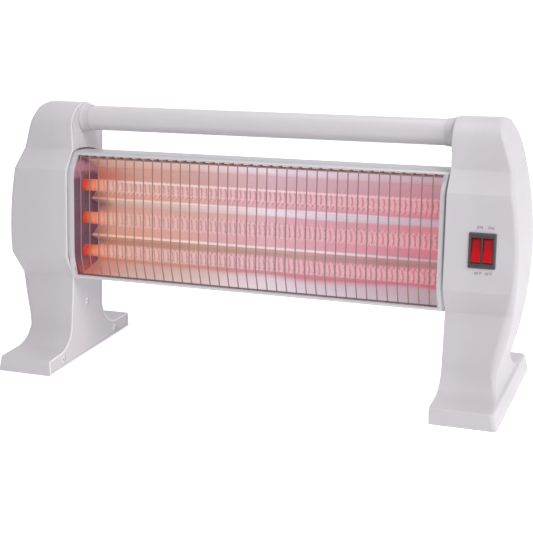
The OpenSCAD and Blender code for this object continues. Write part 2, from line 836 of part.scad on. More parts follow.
module heating_coil(t) {
    path = coil_path(t);
    echo(str("least gap of the coil to itself, mm: ", least_gap(path, coil_wire_d)));
    color("orangered") loft(tube_rings(path, coil_wire_d / 2, coil_sides, [0.02, 0.6, 0.8]));
}

module heating_coil_top() {
    heating_coil(tubes[0]);
}

module heating_coil_middle() {
    heating_coil(tubes[1]);
}

module heating_coil_bottom() {
    heating_coil(tubes[2]);
}

// A ceramic cup on the end of a tube, with a neck that keeps the stud off the clamp plate
module ceramic_cap(t, side) {
    color("ivory") mirror([side < 0 ? 1 : 0, 0, 0]) difference() {
        union() {
            bar_x(cap_x, cap_end, t, cap_d / 2);
            bar_x(cap_end - EPS, neck_end, t, neck_d / 2);
        }
        bar_x(cap_x - 1, cap_x + seat_depth, t, tube_d / 2 + 0.1);
        bar_x(cap_x, neck_end + 1, t, stud_d / 2 + run_gap);
    }
}

module left_top_cap() {
    ceramic_cap(tubes[0], -1);
}

module left_middle_cap() {
    ceramic_cap(tubes[1], -1);
}

module left_bottom_cap() {
    ceramic_cap(tubes[2], -1);
}

module right_top_cap() {
    ceramic_cap(tubes[0], 1);
}

module right_middle_cap() {
    ceramic_cap(tubes[1], 1);
}

module right_bottom_cap() {
    ceramic_cap(tubes[2], 1);
}

module stud_set() {
    for (t = tubes) {
        bar_x(stud_x0, stud_x0 + stud_head_t, t, stud_head_d / 2);
        bar_x(stud_x0 + stud_head_t - EPS, stud_end, t, stud_d / 2);
    }
}

nut_t = 2.4;
strap_t = 0.8;
stud_end = neck_end + strap_t + nut_t + 6;

module left_terminal_studs() {
    color("khaki") mirror([1, 0, 0]) stud_set();
}

module right_terminal_studs() {
    color("khaki") stud_set();
}

module nut_set(x) {
    for (t = tubes) difference() {
        translate([x, t[0], t[1]]) rotate([0, 90, 0]) cylinder(h = nut_t, d = 6.4, $fn = 6);
        bar_x(x - 1, x + nut_t + 1, t, stud_d / 2 + run_gap);
    }
}

module left_terminal_nuts() {
    color("khaki") mirror([1, 0, 0]) nut_set(neck_end + strap_t);
}

module right_terminal_nuts() {
    color("khaki") nut_set(neck_end);
}

link_tab_y = 12;

// The strip that joins the three studs on the left, with a tab for the return lead
module link_strip() {
    low = tubes[2] - [0, 6];
    top = tubes[0] + [0, 6];
    color("goldenrod") mirror([1, 0, 0]) difference() {
        union() {
            along_x(neck_end, strap_t)
                polygon([low - [4, 0], low + [4, 0], top + [4, 0], top - [4, 0]]);
            translate([neck_end, -tube_y, tube_z - 3]) cube([strap_t, link_tab_y + tube_y, 6]);
        }
        for (t = tubes) bar_x(neck_end - 1, neck_end + 2, t, stud_d / 2 + run_gap);
    }
}

clamp_half = [8, 0];             // half the width of the plate that holds the caps
clamp_over = [0, 12];            // how far it reaches beyond the outer tubes

// The plate that holds three caps against an end wall
module tube_clamp() {
    low = tubes[2] - clamp_over;
    top = tubes[0] + clamp_over;
    difference() {
        along_x(cap_end, sheet) polygon([
            low - clamp_half, low + clamp_half, top + clamp_half, top - clamp_half
        ]);
        for (t = tubes) bar_x(cap_end - 1, cap_end + 2, t, neck_d / 2 + clearance);
        for (i = [0, 1]) bar_x(cap_end - 1, cap_end + 2, [spacer_ys[i], spacer_zs[i]],
                               clamp_screw_d / 2 + run_gap);
    }
}

module left_tube_clamp() {
    color("silver") mirror([1, 0, 0]) tube_clamp();
}

module right_tube_clamp() {
    color("silver") tube_clamp();
}

module spacer_set() {
    for (i = [0, 1]) difference() {
        bar_x(cap_x, cap_end, [spacer_ys[i], spacer_zs[i]], 3.4);
        bar_x(cap_x - 1, cap_end + 1, [spacer_ys[i], spacer_zs[i]], clamp_screw_d / 2 + 0.1);
    }
}

module left_clamp_spacers() {
    color("silver") mirror([1, 0, 0]) spacer_set();
}

module right_clamp_spacers() {
    color("silver") spacer_set();
}

// Their heads are on the outer side of the clamp plate
module clamp_screw_set() {
    x = cap_end + sheet;
    for (i = [0, 1]) {
        at = [spacer_ys[i], spacer_zs[i]];
        bar_x(x, x + clamp_head_h, at, 2.8);
        bar_x(end_wall_x - 0.02, x + EPS, at, clamp_screw_d / 2);
    }
}

module left_clamp_screws() {
    color("silver") mirror([1, 0, 0]) clamp_screw_set();
}

module right_clamp_screws() {
    color("silver") clamp_screw_set();
}

// ---- switch: its own frame stands on the front panel, -Y outwards ------------------------------------

cutout_w = 22;
cutout_h = 30;
switch_depth = 19;
well_gap = 0.3;
divider = 1.6;
well_w = rocker_w + 2 * well_gap;
well_h = rocker_h + 2 * well_gap;
well_floor = 11.5;
pivot_depth = 1.2;               // pivot's depth behind the front panel
pivot_d = 2.4;
rocker_x = (well_w + divider) / 2;
rocker_dish = 8;                 // slope of each half of a rocker's face, in degrees
rocker_face = 1.9;               // height of the face's middle above the pivot
rocker_back = 4.5;               // depth of the rocker behind the pivot

module switch_place() {
    translate([half + switch_x, panel_y(switch_z), switch_z]) rotate([-lean_front, 0, 0])
        children();
}

module switch_body() {
    color("dimgray") switch_place() difference() {
        union() {
            translate([-bezel_w / 2, -bezel_t, -bezel_h / 2]) cube([bezel_w, bezel_t, bezel_h]);
            translate([-cutout_w / 2 + 0.15, -EPS, -cutout_h / 2 + 0.15])
                cube([cutout_w - 0.3, switch_depth, cutout_h - 0.3]);
        }
        for (s = [-1, 1])
            translate([s * rocker_x - well_w / 2, -bezel_t - 1, -well_h / 2])
                cube([well_w, well_floor + bezel_t + 1, well_h]);
        translate([0, pivot_depth, 0]) rotate([0, 90, 0])
            cylinder(h = bezel_w, r = pivot_d / 2 + run_gap, center = true, $fn = FINE);
        for (b = blades)
            translate([b[0] - 0.45, switch_depth - blade_root, b[1] - 2.45])
                cube([0.9, blade_root + 1, 4.9]);
    }
}

// A rocker about its pivot, its face to -Y, tilted so that its upper half is pressed in
module rocker(side) {
    pin = well_gap + 0.65;
    face_end = rocker_face + rocker_h / 2 * tan(rocker_dish);
    color("red") switch_place() translate([side * rocker_x, pivot_depth, 0])
        rotate([-rocker_travel / 2, 0, 0]) {
            translate([-rocker_w / 2, 0, 0]) rotate([90, 0, 90]) linear_extrude(rocker_w)
                intersection() {
                    circle(d = rocker_h, $fn = FINE);
                    polygon([
                        [-rocker_face, 0], [-face_end, rocker_h / 2],
                        [rocker_back, rocker_h / 2], [rocker_back, -rocker_h / 2],
                        [-face_end, -rocker_h / 2]
                    ]);
                }
            rotate([0, 90, 0])
                cylinder(h = rocker_w + 2 * pin, d = pivot_d, center = true, $fn = FINE);
        }
}

module left_rocker() {
    rocker(-1);
}

module right_rocker() {
    rocker(1);
}

blade_root = 3;
blade_len = 8;
// Blades of the switch, [x, height]: a feed and the switched ones, left then right
blades = [[-rocker_x, -9], [-rocker_x, 9], [rocker_x, -9], [rocker_x, 0], [rocker_x, 9]];

module switch_blades() {
    color("gold") switch_place() for (b = blades)
        translate([b[0] - 0.4, switch_depth - blade_root, b[1] - 2.4])
            cube([0.8, blade_root + blade_len, 4.8]);
}

// ---- supply side in the right housing -----------------------------------------------------------------

block_drop = 74.9;               // depth of the terminal block below the middle tube
block_at = [0, tube_z - block_drop];
block_x0 = half + 27;
block_x1 = half + 40;
block_size = [block_x1 - block_x0, 34, 18];
block_top = block_at[1] + block_size[2] / 2;
block_poles = [-11, 0, 11];      // live, earth and neutral
block_screw_at = block_at + [5.5, 0];
block_screw_d = 3;
block_mid_x = (block_x0 + block_x1) / 2;
twin_x = [block_mid_x - 3.3, block_mid_x + 3.3];
entry_depth = 4;

module block_entry(x, y, side) {
    translate([x, block_at[0] + y, block_at[1] + side * (block_size[2] / 2 - entry_depth / 2)])
        cylinder(h = entry_depth + EPS, r = lead_d / 2 + 0.2, center = true, $fn = FINE);
}

module terminal_block() {
    color("white") difference() {
        translate([block_x0, block_at[0] - block_size[1] / 2, block_at[1] - block_size[2] / 2])
            cube(block_size);
        bar_x(block_x0 - 1, block_x1 + 1, block_screw_at, block_screw_d / 2 + 0.1);
        for (y = block_poles) {
            bar_x(block_x0 - 1, block_x0 + 3, [block_at[0] + y, block_at[1]], 2.2);
            block_entry(block_mid_x, y, -1);
        }
        for (x = twin_x) block_entry(x, block_poles[0], 1);
        for (y = [block_poles[1], block_poles[2]]) block_entry(block_mid_x, y, 1);
    }
}

module terminal_screws() {
    color("khaki") for (y = block_poles) difference() {
        bar_x(block_x0 + 0.8, block_x0 + 3, [block_at[0] + y, block_at[1]], 2.16);
        translate([block_x0, block_at[0] + y - 2.5, block_at[1] - 0.3]) cube([1.6, 5, 0.6]);
    }
}

// A screw along X that ends in a post of the shell
module post_screw(x, at, length) {
    color("silver") {
        bar_x(x - 2, x, at, 2.8);
        bar_x(x - EPS, x + length, at, block_screw_d / 2);
    }
}

module terminal_block_screw() {
    post_screw(block_x0, block_screw_at, block_size[0] + 8);
}

tip_at = [18, tube_z - 31];
tip_x0 = half + 34;
tip_x1 = half + 46;
tip_h = 15;

// A sealed tilt cut-out, bolted to its post through its middle
module tilt_switch() {
    color("black") difference() {
        translate([tip_x0, tip_at[0] - 9, tip_at[1] - tip_h / 2]) cube([tip_x1 - tip_x0, 18, tip_h]);
        bar_x(tip_x0 - 1, tip_x1 + 1, tip_at, block_screw_d / 2 + 0.1);
    }
}

module tilt_switch_screw() {
    post_screw(tip_x0, tip_at, tip_x1 - tip_x0 + 6);
}

gland_x = 34;
gland_neck_d = 12;
gland_flange_d = 17;
gland_flange_t = 2.5;
gland_nose = 4;
gland_nut_t = 3;
gland_inside = wall + gland_nut_t + 1;

// The gland's axis runs out of the back, at right angles to it
module gland_place() {
    translate([half + gland_x, back_at(gland_z)[0], gland_z]) rotate([-90 - calf_lean, 0, 0])
        children();
}

module cord_gland() {
    color("dimgray") gland_place() difference() {
        union() {
            cylinder(h = gland_flange_t, d = gland_flange_d, $fn = FINE);
            translate([0, 0, gland_flange_t - EPS])
                cylinder(h = gland_nose, d1 = gland_neck_d + 1, d2 = gland_neck_d - 1, $fn = FINE);
            translate([0, 0, -gland_inside])
                cylinder(h = gland_inside + EPS, d = gland_neck_d, $fn = FINE);
        }
        translate([0, 0, -gland_inside - 1])
            cylinder(h = gland_inside + gland_flange_t + gland_nose + 2, d = gland_bore_d,
                     $fn = FINE);
    }
}

module cord_gland_nut() {
    color("gray") gland_place() difference() {
        translate([0, 0, -wall - gland_nut_t]) cylinder(h = gland_nut_t, d = 19, $fn = 6);
        translate([0, 0, -wall - gland_nut_t - 1])
            cylinder(h = gland_nut_t + 2, r = gland_neck_d / 2 + run_gap, $fn = FINE);
    }
}

earth_at = [14, tube_z - tube_pitch - 4];
earth_t = 0.8;
earth_tab = 8;

// A bent tag for the earth lead, swaged into the end wall
module earth_tag() {
    color("goldenrod") {
        translate([cap_x, earth_at[0] - 3.5, earth_at[1] - 3.5]) cube([earth_t, 7, 13.5]);
        translate([cap_x, earth_at[0] - 3.5, earth_at[1] + 10 - earth_t])
            cube([earth_tab, 7, earth_t]);
        bar_x(end_wall_x - 0.02, cap_x + EPS, earth_at, 1.5);
    }
}

// ---- leads: each leaves and arrives straight, on one smooth curve --------------------------------------

lead_d = 2.6;
lead_rings = 12;
lead_sides = 8;
lead_straight = 0.8;             // straight piece at each end, so that it ends square

function bezier(a, b, c, d, s) =
    pow(1 - s, 3) * a + 3 * pow(1 - s, 2) * s * b + 3 * (1 - s) * s * s * c + pow(s, 3) * d;

// From a, which it leaves along da, to b, which it reaches against db
function lead_path(a, da, b, db) =
    let (p = a + lead_straight * unit(da), q = b + lead_straight * unit(db)) concat(
        [a], [for (i = [0:lead_rings]) bezier(p, p + da, q + db, q, i / lead_rings)], [b]);

module lead(path, tint) {
    color(tint) loft(tube_rings(path, lead_d / 2, lead_sides, [0.62, 0.2, 0.76]));
}

// A tip of the switch's blades, in the object's frame
function blade_tip(i) =
    let (y = switch_depth + blade_len, z = blades[i][1], base = panel_y(switch_z)) [
        half + switch_x + blades[i][0],
        base + y * cos(lean_front) + z * sin(lean_front),
        switch_z - y * sin(lean_front) + z * cos(lean_front)
    ];

// A run of the given length straight out of the switch's back, and one up from the terminal block
function off_blade(run) = run * [0, cos(lean_front), -sin(lean_front)];
function up(run) = [0, 0, run];
feed_rise = 25;
short_run = 14;
long_run = 22;

// The place on the side of a stud where its lead is fixed
function stud_side(k) =
    [stud_end - 3.4, tubes[k][0] + stud_d / 2, tubes[k][1]];

function entry(x, k) = [x, block_at[0] + block_poles[k], block_top - entry_depth + 0.2];

module left_feed_lead() {
    lead(lead_path(entry(twin_x[0], 0), up(feed_rise), blade_tip(0), off_blade(short_run)),
         "saddlebrown");
}

module right_feed_lead() {
    lead(lead_path(entry(twin_x[1], 0), up(feed_rise), blade_tip(2), off_blade(short_run)),
         "saddlebrown");
}

module top_tube_lead() {
    lead(lead_path(blade_tip(1), off_blade(short_run), stud_side(0), [0, short_run, 0]), "white");
}

module middle_tube_lead() {
    lead(lead_path(blade_tip(4), off_blade(long_run), stud_side(1), [0, long_run - 2, 0]), "white");
}

module bottom_tube_lead() {
    lead(lead_path(blade_tip(3), off_blade(long_run), stud_side(2), [0, long_run, 0]), "white");
}

module earth_lead() {
    tag_end = [cap_x + earth_tab, earth_at[0], earth_at[1] + 10 - earth_t / 2];
    lead(lead_path(entry(block_mid_x, 1), up(long_run), tag_end, [short_run, 0, 0]), "limegreen");
}

module neutral_lead() {
    tip_end = [(tip_x0 + tip_x1) / 2, tip_at[0], tip_at[1] - tip_h / 2];
    lead(lead_path(entry(block_mid_x, 2), up(12), tip_end, up(-9)), "steelblue");
}

// From the strip on the left, behind the mirror, to the tilt cut-out on the right
module return_lead() {
    tip_end = [(tip_x0 + tip_x1) / 2, tip_at[0], tip_at[1] + tip_h / 2];
    start = [-neck_end - strap_t / 2, link_tab_y, tube_z];
    left_x = [-half + 1, return_at[0], return_at[1]];
    right_x = [half + 4, return_at[0], return_at[1]];
    lead(concat(
        lead_path(start, [0, 10, 0], left_x, [-9, 0, 0]),
        lead_path(right_x, [long_run, 0, 0], tip_end, up(18))
    ), "steelblue");
}

// ---- what can be drawn -------------------------------------------------------------------------------------

left_outer_shell();
right_outer_shell();
left_inner_cover();
right_inner_cover();
left_cover_screws();
right_cover_screws();
left_case_screws();
right_case_screws();
handle_tube();
left_handle_plug();
right_handle_plug();
heater_case();
left_end_wall();
right_end_wall();
reflector();
wire_grille();
quartz_tube_top();
quartz_tube_middle();
quartz_tube_bottom();
heating_coil_top();
heating_coil_middle();
heating_coil_bottom();
left_top_cap();
left_middle_cap();
left_bottom_cap();
right_top_cap();
right_middle_cap();
right_bottom_cap();
left_terminal_studs();
right_terminal_studs();
left_terminal_nuts();
right_terminal_nuts();
link_strip();
left_tube_clamp();
right_tube_clamp();
left_clamp_spacers();
right_clamp_spacers();
left_clamp_screws();
right_clamp_screws();
switch_body();
left_rocker();
right_rocker();
switch_blades();
terminal_block();
terminal_screws();
terminal_block_screw();
tilt_switch();
tilt_switch_screw();
cord_gland();
cord_gland_nut();
earth_tag();
left_feed_lead();
right_feed_lead();
top_tube_lead();
middle_tube_lead();
bottom_tube_lead();
earth_lead();
neutral_lead();
return_lead();
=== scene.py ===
"""Looks of the electric bar heater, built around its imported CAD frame.

X runs along the tubes, -Y is the front, Z is up. Sizes in this script are in millimetres, in the
frame of the CAD model, and become metres where a mesh or a mask is made. The floor, the lamps and
the camera are placed in metres.
"""
import json
import math

import bmesh
import bpy
import numpy as np
from mathutils import Matrix, Vector


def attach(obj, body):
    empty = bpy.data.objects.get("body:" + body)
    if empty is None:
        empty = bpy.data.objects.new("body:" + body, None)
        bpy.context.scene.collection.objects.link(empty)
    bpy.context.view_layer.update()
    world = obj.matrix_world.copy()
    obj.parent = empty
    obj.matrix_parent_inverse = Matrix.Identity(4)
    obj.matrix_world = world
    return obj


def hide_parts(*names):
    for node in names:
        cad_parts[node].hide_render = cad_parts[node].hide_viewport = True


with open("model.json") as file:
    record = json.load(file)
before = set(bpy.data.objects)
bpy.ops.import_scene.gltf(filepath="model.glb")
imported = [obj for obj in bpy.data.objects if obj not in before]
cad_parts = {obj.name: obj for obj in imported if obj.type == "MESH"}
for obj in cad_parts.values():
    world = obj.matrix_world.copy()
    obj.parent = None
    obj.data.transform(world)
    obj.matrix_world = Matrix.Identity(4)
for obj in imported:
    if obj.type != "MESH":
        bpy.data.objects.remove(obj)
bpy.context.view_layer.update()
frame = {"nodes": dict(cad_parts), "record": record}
MM = 0.001
materials = {}

# ---- sizes, as in the CAD model ----

SPAN, HEIGHT, FOOT_DEPTH, END_W = 392.0, 265.0, 174.0, 68.43
HALF = SPAN / 2
CLEARANCE, FINE_GAP = 0.3, 0.05

# Housings: the feet, and the sweeps that rise from them to the legs.
WALL = 2.2
FOOT_H, FOOT_W, FOOT_RISE, FOOT_BEVEL = 16.0, 61.8, 0.8, 2.4
FOOT_DRAFT, FOOT_EDGE_R = 3.4, 4.0
SWEEP_FRONT_R, SWEEP_BACK_R, SIDE_SWEEP_H = 26.5, 29.5, 19.0
SHIN_Y, CALF_Y, NAPE_Y = 38.0, 29.4, 51.0

# Housings: the bends of the front, as (y, z), and the arched crown.
SHOULDER, BELLY_LOW = np.array([-29.0, 89.6]), np.array([-40.4, 113.8])
BELLY_HIGH, HEAD = np.array([-31.3, 202.0]), np.array([-15.2, 221.0])
CROWN_Y, CROWN_FRONT_H, CROWN_BACK_H, CROWN_ARC, CROWN_SETBACK = 14.0, 22.0, 33.0, 82.0, 0.7

# Housings: the bulging outer side, and how the long edges are rounded and drawn in.
BULGE_R, BULGE_Z = 340.0, 138.0
CROWN_SIDE_H, CROWN_SIDE_W = 6.5, 6.5
EDGE_R, LEG_EDGE_R, BEND_LEN = 4.5, 5.0, 1.0
SIDE_DRAFT, LEG_DRAW = 1.2, 0.7
LEG_START, LEG_RISE, LEG_FALL, LEG_TOP = 14.0, 24.0, 44.0, 4.0
MAX_EDGE_SHARE, DIAGONAL = 0.42, 0.7

# Sheet-metal case.
SHEET, CASE_RECESS, FRAME_W = 1.0, 4.2, 6.8
LIP_TOP, LIP_LOW, CASE_LOW_Z, CREST_Z, TOE_Y = 1.2, 3.6, 89.6, 218.4, 30.5
CASE_BEND_LEN, ARCH_R, BROW_DROP, CREST_Y = 6.5, 131.0, 1.8, 5.0
CASE_BACK_GAP, CASE_REACH = 6.8, 8.0
SLOT_W, SLOT_H, SLOT_PITCH, SLOT_ROWS = 4, 16, 20, (122, 160, 198)
END_WALL_GAP, MIRROR_T, MIRROR_BEND_LEN = 0.2, 0.6, 1.6

# Guard, tubes and coils. The coils have more turns here than in the CAD model.
WIRE_PITCH, WIRE_D, ROD_D = 10.1, 1.2, 2.2
TUBE_PITCH, TUBE_Z, TUBE_Y, TUBE_D, TUBE_WALL = 34.0, 148.9, 8.0, 12.0, 1.1
SEAT_DEPTH, SEAT_GAP, STUD_HEAD_T = 8.5, 0.2, 1.5
COIL_D, COIL_WIRE_D, COIL_TURNS, COIL_PITCH, COIL_RUN = 7.8, 1.2, 72, 5.2, 10.0

# Switch, rockers and gland.
SWITCH_X, SWITCH_Z, SWITCH_DEPTH = 34.6, 152.0, 19.0
BEZEL_W, BEZEL_H, BEZEL_T, BEZEL_CORNER_R = 25.0, 32.6, 1.8, 1.2
CUTOUT_W, CUTOUT_H = 22.0, 30.0
ROCKER_W, ROCKER_H, ROCKER_TRAVEL = 8.4, 22.6, 18.0
WELL_GAP, DIVIDER, WELL_FLOOR = 0.3, 1.6, 11.5
PIVOT_DEPTH, PIVOT_D = 1.2, 2.4
BLADE_W, BLADE_T, BLADE_ROOT = 4.8, 0.8, 3.0
GLAND_X, GLAND_Z, GLAND_NECK_D, GLAND_FIT = 34.0, 60.0, 12.0, 0.04

lean_front = math.atan2(BELLY_HIGH[0] - BELLY_LOW[0], BELLY_HIGH[1] - BELLY_LOW[1])
sweep_low = FOOT_H + FOOT_RISE
shin_lean = math.atan2(SHIN_Y + SHOULDER[0], SHOULDER[1] - sweep_low - SWEEP_FRONT_R)
calf_z = sweep_low + SWEEP_BACK_R
calf_lean = math.atan2(NAPE_Y - CALF_Y, HEIGHT - CROWN_BACK_H - calf_z)


# ---- plane geometry ----

def angles_round(n):
    return [2 * math.pi * k / n for k in range(n)]


def quarter_turn(n):
    return [math.pi / 2 * i / n for i in range(n + 1)]


def unit(v):
    v = np.asarray(v, float)
    return v / np.linalg.norm(v)


def left_of(a, b):
    """The unit vector to the left of the way from a to b."""
    d = unit(np.subtract(b, a))
    return np.array([-d[1], d[0]])


def mitre(m, n):
    """How far a corner moves when both its sides, with normals m and n, move by 1."""
    return (m + n) / (1 + float(m @ n))


def on_line(p, q, z):
    """The point of the line through p and q at a height."""
    return np.array([p[0] + (q[0] - p[0]) * (z - p[1]) / (q[1] - p[1]), z])


def shift_path(path, t):
    """A path moved to its left by t."""
    last = len(path) - 1
    out = []
    for i, p in enumerate(path):
        if i == 0:
            out.append(p + t * left_of(path[0], path[1]))
        elif i == last:
            out.append(p + t * left_of(path[last - 1], path[last]))
        else:
            out.append(p + t * mitre(left_of(path[i - 1], p), left_of(p, path[i + 1])))
    return out


def shrink(outline, t):
    """A closed counter-clockwise outline drawn in by t."""
    n = len(outline)
    return [p + t * mitre(left_of(outline[i - 1], p), left_of(p, outline[(i + 1) % n]))
            for i, p in enumerate(outline)]


def soft_corner(a, b, c, reach, n):
    """The rounded corner at b, which begins and ends at reach from it."""
    p, q = b + reach * unit(a - b), b + reach * unit(c - b)
    out = []
    for i in range(n + 1):
        s = i / n
        u, v = p + (b - p) * s, b + (q - b) * s
        out.append(u + (v - u) * s)
    return out


def soft_path(points, reach, n):
    """A path with every inner corner rounded."""
    out = [points[0]]
    for i in range(1, len(points) - 1):
        out += soft_corner(points[i - 1], points[i], points[i + 1], reach, n)
    return out + [points[-1]]


def between(a, b, n):
    """Evenly spaced points between two ends, which aren't among them."""
    return [a + (b - a) * i / (n + 1) for i in range(1, n + 1)]


def back_at(z):
    """The point of the housing's back line at a height."""
    return np.array([CALF_Y + (z - calf_z) * math.tan(calf_lean), z])


def panel_y(z):
    """Where the flat front panel stands at a height."""
    return on_line(BELLY_LOW, BELLY_HIGH, z)[0]


# ---- meshes ----

def joined(parts):
    """Several (points, faces) pairs as one."""
    points, faces = [], []
    for p, f in parts:
        faces += [[i + len(points) for i in face] for face in f]
        points += [tuple(map(float, q)) for q in p]
    return points, faces


def placed(part, matrix):
    points, faces = part
    return [tuple(matrix @ Vector(p)) for p in points], faces


def mirrored(part):
    """The same part on the other side of the heater's middle."""
    points, faces = part
    return [(-p[0], p[1], p[2]) for p in points], [list(reversed(f)) for f in faces]


def sharpen(mesh, angle):
    """Smooth shading, with the edges sharper than the angle kept crisp."""
    work = bmesh.new()
    work.from_mesh(mesh)
    for f in work.faces:
        f.smooth = True
    for e in work.edges:
        e.smooth = len(e.link_faces) == 2 and e.calc_face_angle(0) < math.radians(angle)
    work.to_mesh(mesh)
    work.free()


def apply_modifiers(obj):
    bpy.context.view_layer.update()
    done = bpy.data.meshes.new_from_object(obj.evaluated_get(bpy.context.evaluated_depsgraph_get()))
    obj.modifiers.clear()
    old, obj.data = obj.data, done
    bpy.data.meshes.remove(old)


def raw_mesh(name, part):
    """An object of a part's points and faces, which all face outwards."""
    mesh = bpy.data.meshes.new(name)
    points, faces = part
    mesh.from_pydata([(x * MM, y * MM, z * MM) for x, y, z in points], [], faces)
    work = bmesh.new()
    work.from_mesh(mesh)
    bmesh.ops.recalc_face_normals(work, faces=work.faces)
    work.to_mesh(mesh)
    work.free()
    obj = bpy.data.objects.new(name, mesh)
    bpy.context.scene.collection.objects.link(obj)
    return obj


def combine(obj, operation, part):
    """Joins a closed solid to a piece, or takes it out of the piece."""
    tool = raw_mesh("tool", part)
    use = obj.modifiers.new("combine", "BOOLEAN")
    use.operation, use.solver, use.object = operation, "EXACT", tool
    apply_modifiers(obj)
    bpy.data.objects.remove(tool)


def piece(name, part, slot, look=None, body="frame", replaces=(), crisp=32, bevel=0.0,
          cuts=(), extra=None):
    """One visible piece: its mesh, its edges, its material, and the body that carries it.

    Its material is the slot's, unless look names another. Edges sharper than crisp, in degrees,
    stay sharp. A solid may be added and others cut out.
    """
    obj = raw_mesh(name, part)
    if extra:
        combine(obj, "UNION", extra)
    for tool in cuts:
        combine(obj, "DIFFERENCE", tool)
    if bevel:
        use = obj.modifiers.new("edges", "BEVEL")
        use.width, use.segments = bevel * MM, 3
        use.limit_method, use.angle_limit = "ANGLE", math.radians(35)
        apply_modifiers(obj)
    sharpen(obj.data, crisp)
    obj.modifiers.new("shading", "WEIGHTED_NORMAL").keep_sharp = True
    apply_modifiers(obj)
    obj.data.materials.append(materials[look or slot])
    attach(obj, body)
    if replaces:
        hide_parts(*replaces)


def loft(rings, caps=True):
    """A skin through closed rings of equal length."""
    n = len(rings[0])
    points = [p for r in rings for p in r]
    faces = []
    for i in range(len(rings) - 1):
        for j in range(n):
            k = (j + 1) % n
            faces.append([i * n + j, (i + 1) * n + j, (i + 1) * n + k, i * n + k])
    if caps:
        faces.append(list(range(n))[::-1])
        faces.append([(len(rings) - 1) * n + j for j in range(n)])
    return points, faces


def loft_round(rings):
    """A skin through rings, of which the last meets the first again."""
    points, faces = loft(rings + [rings[0]], caps=False)
    keep = len(rings) * len(rings[0])
    return points[:keep], [[i % keep for i in f] for f in faces]


def tube_on(path, radius, sides, start_normal=(0.02, 0.6, 0.8)):
    """A round tube along a path, carried along without twist."""
    path = [np.asarray(p, float) for p in path]
    rings, ref = [], np.asarray(start_normal, float)
    for i, p in enumerate(path):
        t = unit(path[min(i + 1, len(path) - 1)] - path[max(i - 1, 0)])
        u = unit(ref - t * (ref @ t))
        v = np.cross(t, u)
        ref = u
        rings.append([p + radius * (math.cos(a) * u + math.sin(a) * v)
                      for a in angles_round(sides)])
    return loft(rings)


def lathe_x(profile, at):
    """A closed profile of (x, radius) turned about an axis along X through at = (y, z)."""
    return loft_round([[(x, at[0] + r * math.cos(a), at[1] + r * math.sin(a)) for x, r in profile]
                       for a in angles_round(48)])


def block(low, high):
    """A box between its lowest and highest corners."""
    (x0, y0, z0), (x1, y1, z1) = low, high
    return loft([[(x0, y0, z), (x1, y0, z), (x1, y1, z), (x0, y1, z)] for z in (z0, z1)])


def extrude_x(outline, stations):
    """A solid of a closed outline of (y, z) points, along X, with a ring at each station."""
    return loft([[(x, p[0], p[1]) for p in outline] for x in stations])


# ---- shader building ----

def feed(tree, socket, value):
    """Links another socket to this one, or writes a plain value on it."""
    if isinstance(value, bpy.types.NodeSocket):
        tree.links.new(value, socket)
    else:
        socket.default_value = value


def feed_named(tree, sockets, values):
    """Feeds sockets by name, where an underscore stands for a space."""
    for key, value in values.items():
        feed(tree, sockets[key.replace("_", " ")], value)


def node(tree, kind, inputs=None, **values):
    made = tree.nodes.new(kind)
    for key, value in values.items():
        setattr(made, key, value)
    for key, value in (inputs or {}).items():
        feed(tree, made.inputs[key], value)
    return made


def maths(tree, operation, a, b=0.0, c=None, clamp=False):
    inputs = {0: a, 1: b}
    if c is not None:
        inputs[2] = c
    return node(tree, "ShaderNodeMath", inputs, operation=operation, use_clamp=clamp).outputs[0]


def times(tree, *values):
    """The product of two or more values."""
    product = values[0]
    for value in values[1:]:
        product = maths(tree, "MULTIPLY", product, value)
    return product


def blend_colour(tree, factor, a, b, mode="MIX"):
    made = node(tree, "ShaderNodeMix", data_type="RGBA", blend_type=mode)
    sockets = {s.identifier: s for s in made.inputs}
    feed(tree, sockets["Factor_Float"], factor)
    feed(tree, sockets["A_Color"], a)
    feed(tree, sockets["B_Color"], b)
    return next(s for s in made.outputs if s.identifier == "Result_Color")


def darkened(tree, tone, share):
    return blend_colour(tree, share, tone, (0.0, 0.0, 0.0, 1))


def ramp(tree, factor, stops):
    made = node(tree, "ShaderNodeValToRGB", {"Fac": factor})
    band = made.color_ramp
    while len(band.elements) < len(stops):
        band.elements.new(0.5)
    for element, (place, colour) in zip(band.elements, stops):
        element.position = place
        element.color = (*colour, 1)
    return made.outputs["Color"]


def spread(tree, value, low, high, to_low=0.0, to_high=1.0):
    """A value between low and high, spread over the new range and clamped to it."""
    return node(tree, "ShaderNodeMapRange", {
        "Value": value, "From Min": low, "From Max": high, "To Min": to_low, "To Max": to_high,
    }, clamp=True).outputs["Result"]


def fade(tree, place, start, end, to_start=0.0, to_end=1.0):
    """A mask that changes from one place on an axis to another, in millimetres."""
    return spread(tree, place, start * MM, end * MM, to_start, to_end)


def strip(tree, place, low, high, soft=2.0):
    """A mask that is 1 between two places on an axis, in millimetres, with soft borders."""
    return times(tree, fade(tree, place, low - soft / 2, low + soft / 2),
                 fade(tree, place, high + soft / 2, high - soft / 2))


def strips(tree, place, bands, soft):
    """One mask for several strips that stand apart."""
    mask = strip(tree, place, *bands[0], soft)
    for band in bands[1:]:
        mask = maths(tree, "ADD", mask, strip(tree, place, *band, soft))
    return mask


def place_of(tree):
    return node(tree, "ShaderNodeTexCoord").outputs["Object"]


def place_parts(tree):
    """The place on the object, as X, Y and Z in metres."""
    return node(tree, "ShaderNodeSeparateXYZ", {"Vector": place_of(tree)}).outputs


def facing_parts(tree):
    """The way that the surface faces, as X, Y and Z."""
    facing = node(tree, "ShaderNodeNewGeometry").outputs["Normal"]
    return node(tree, "ShaderNodeSeparateXYZ", {"Vector": facing}).outputs


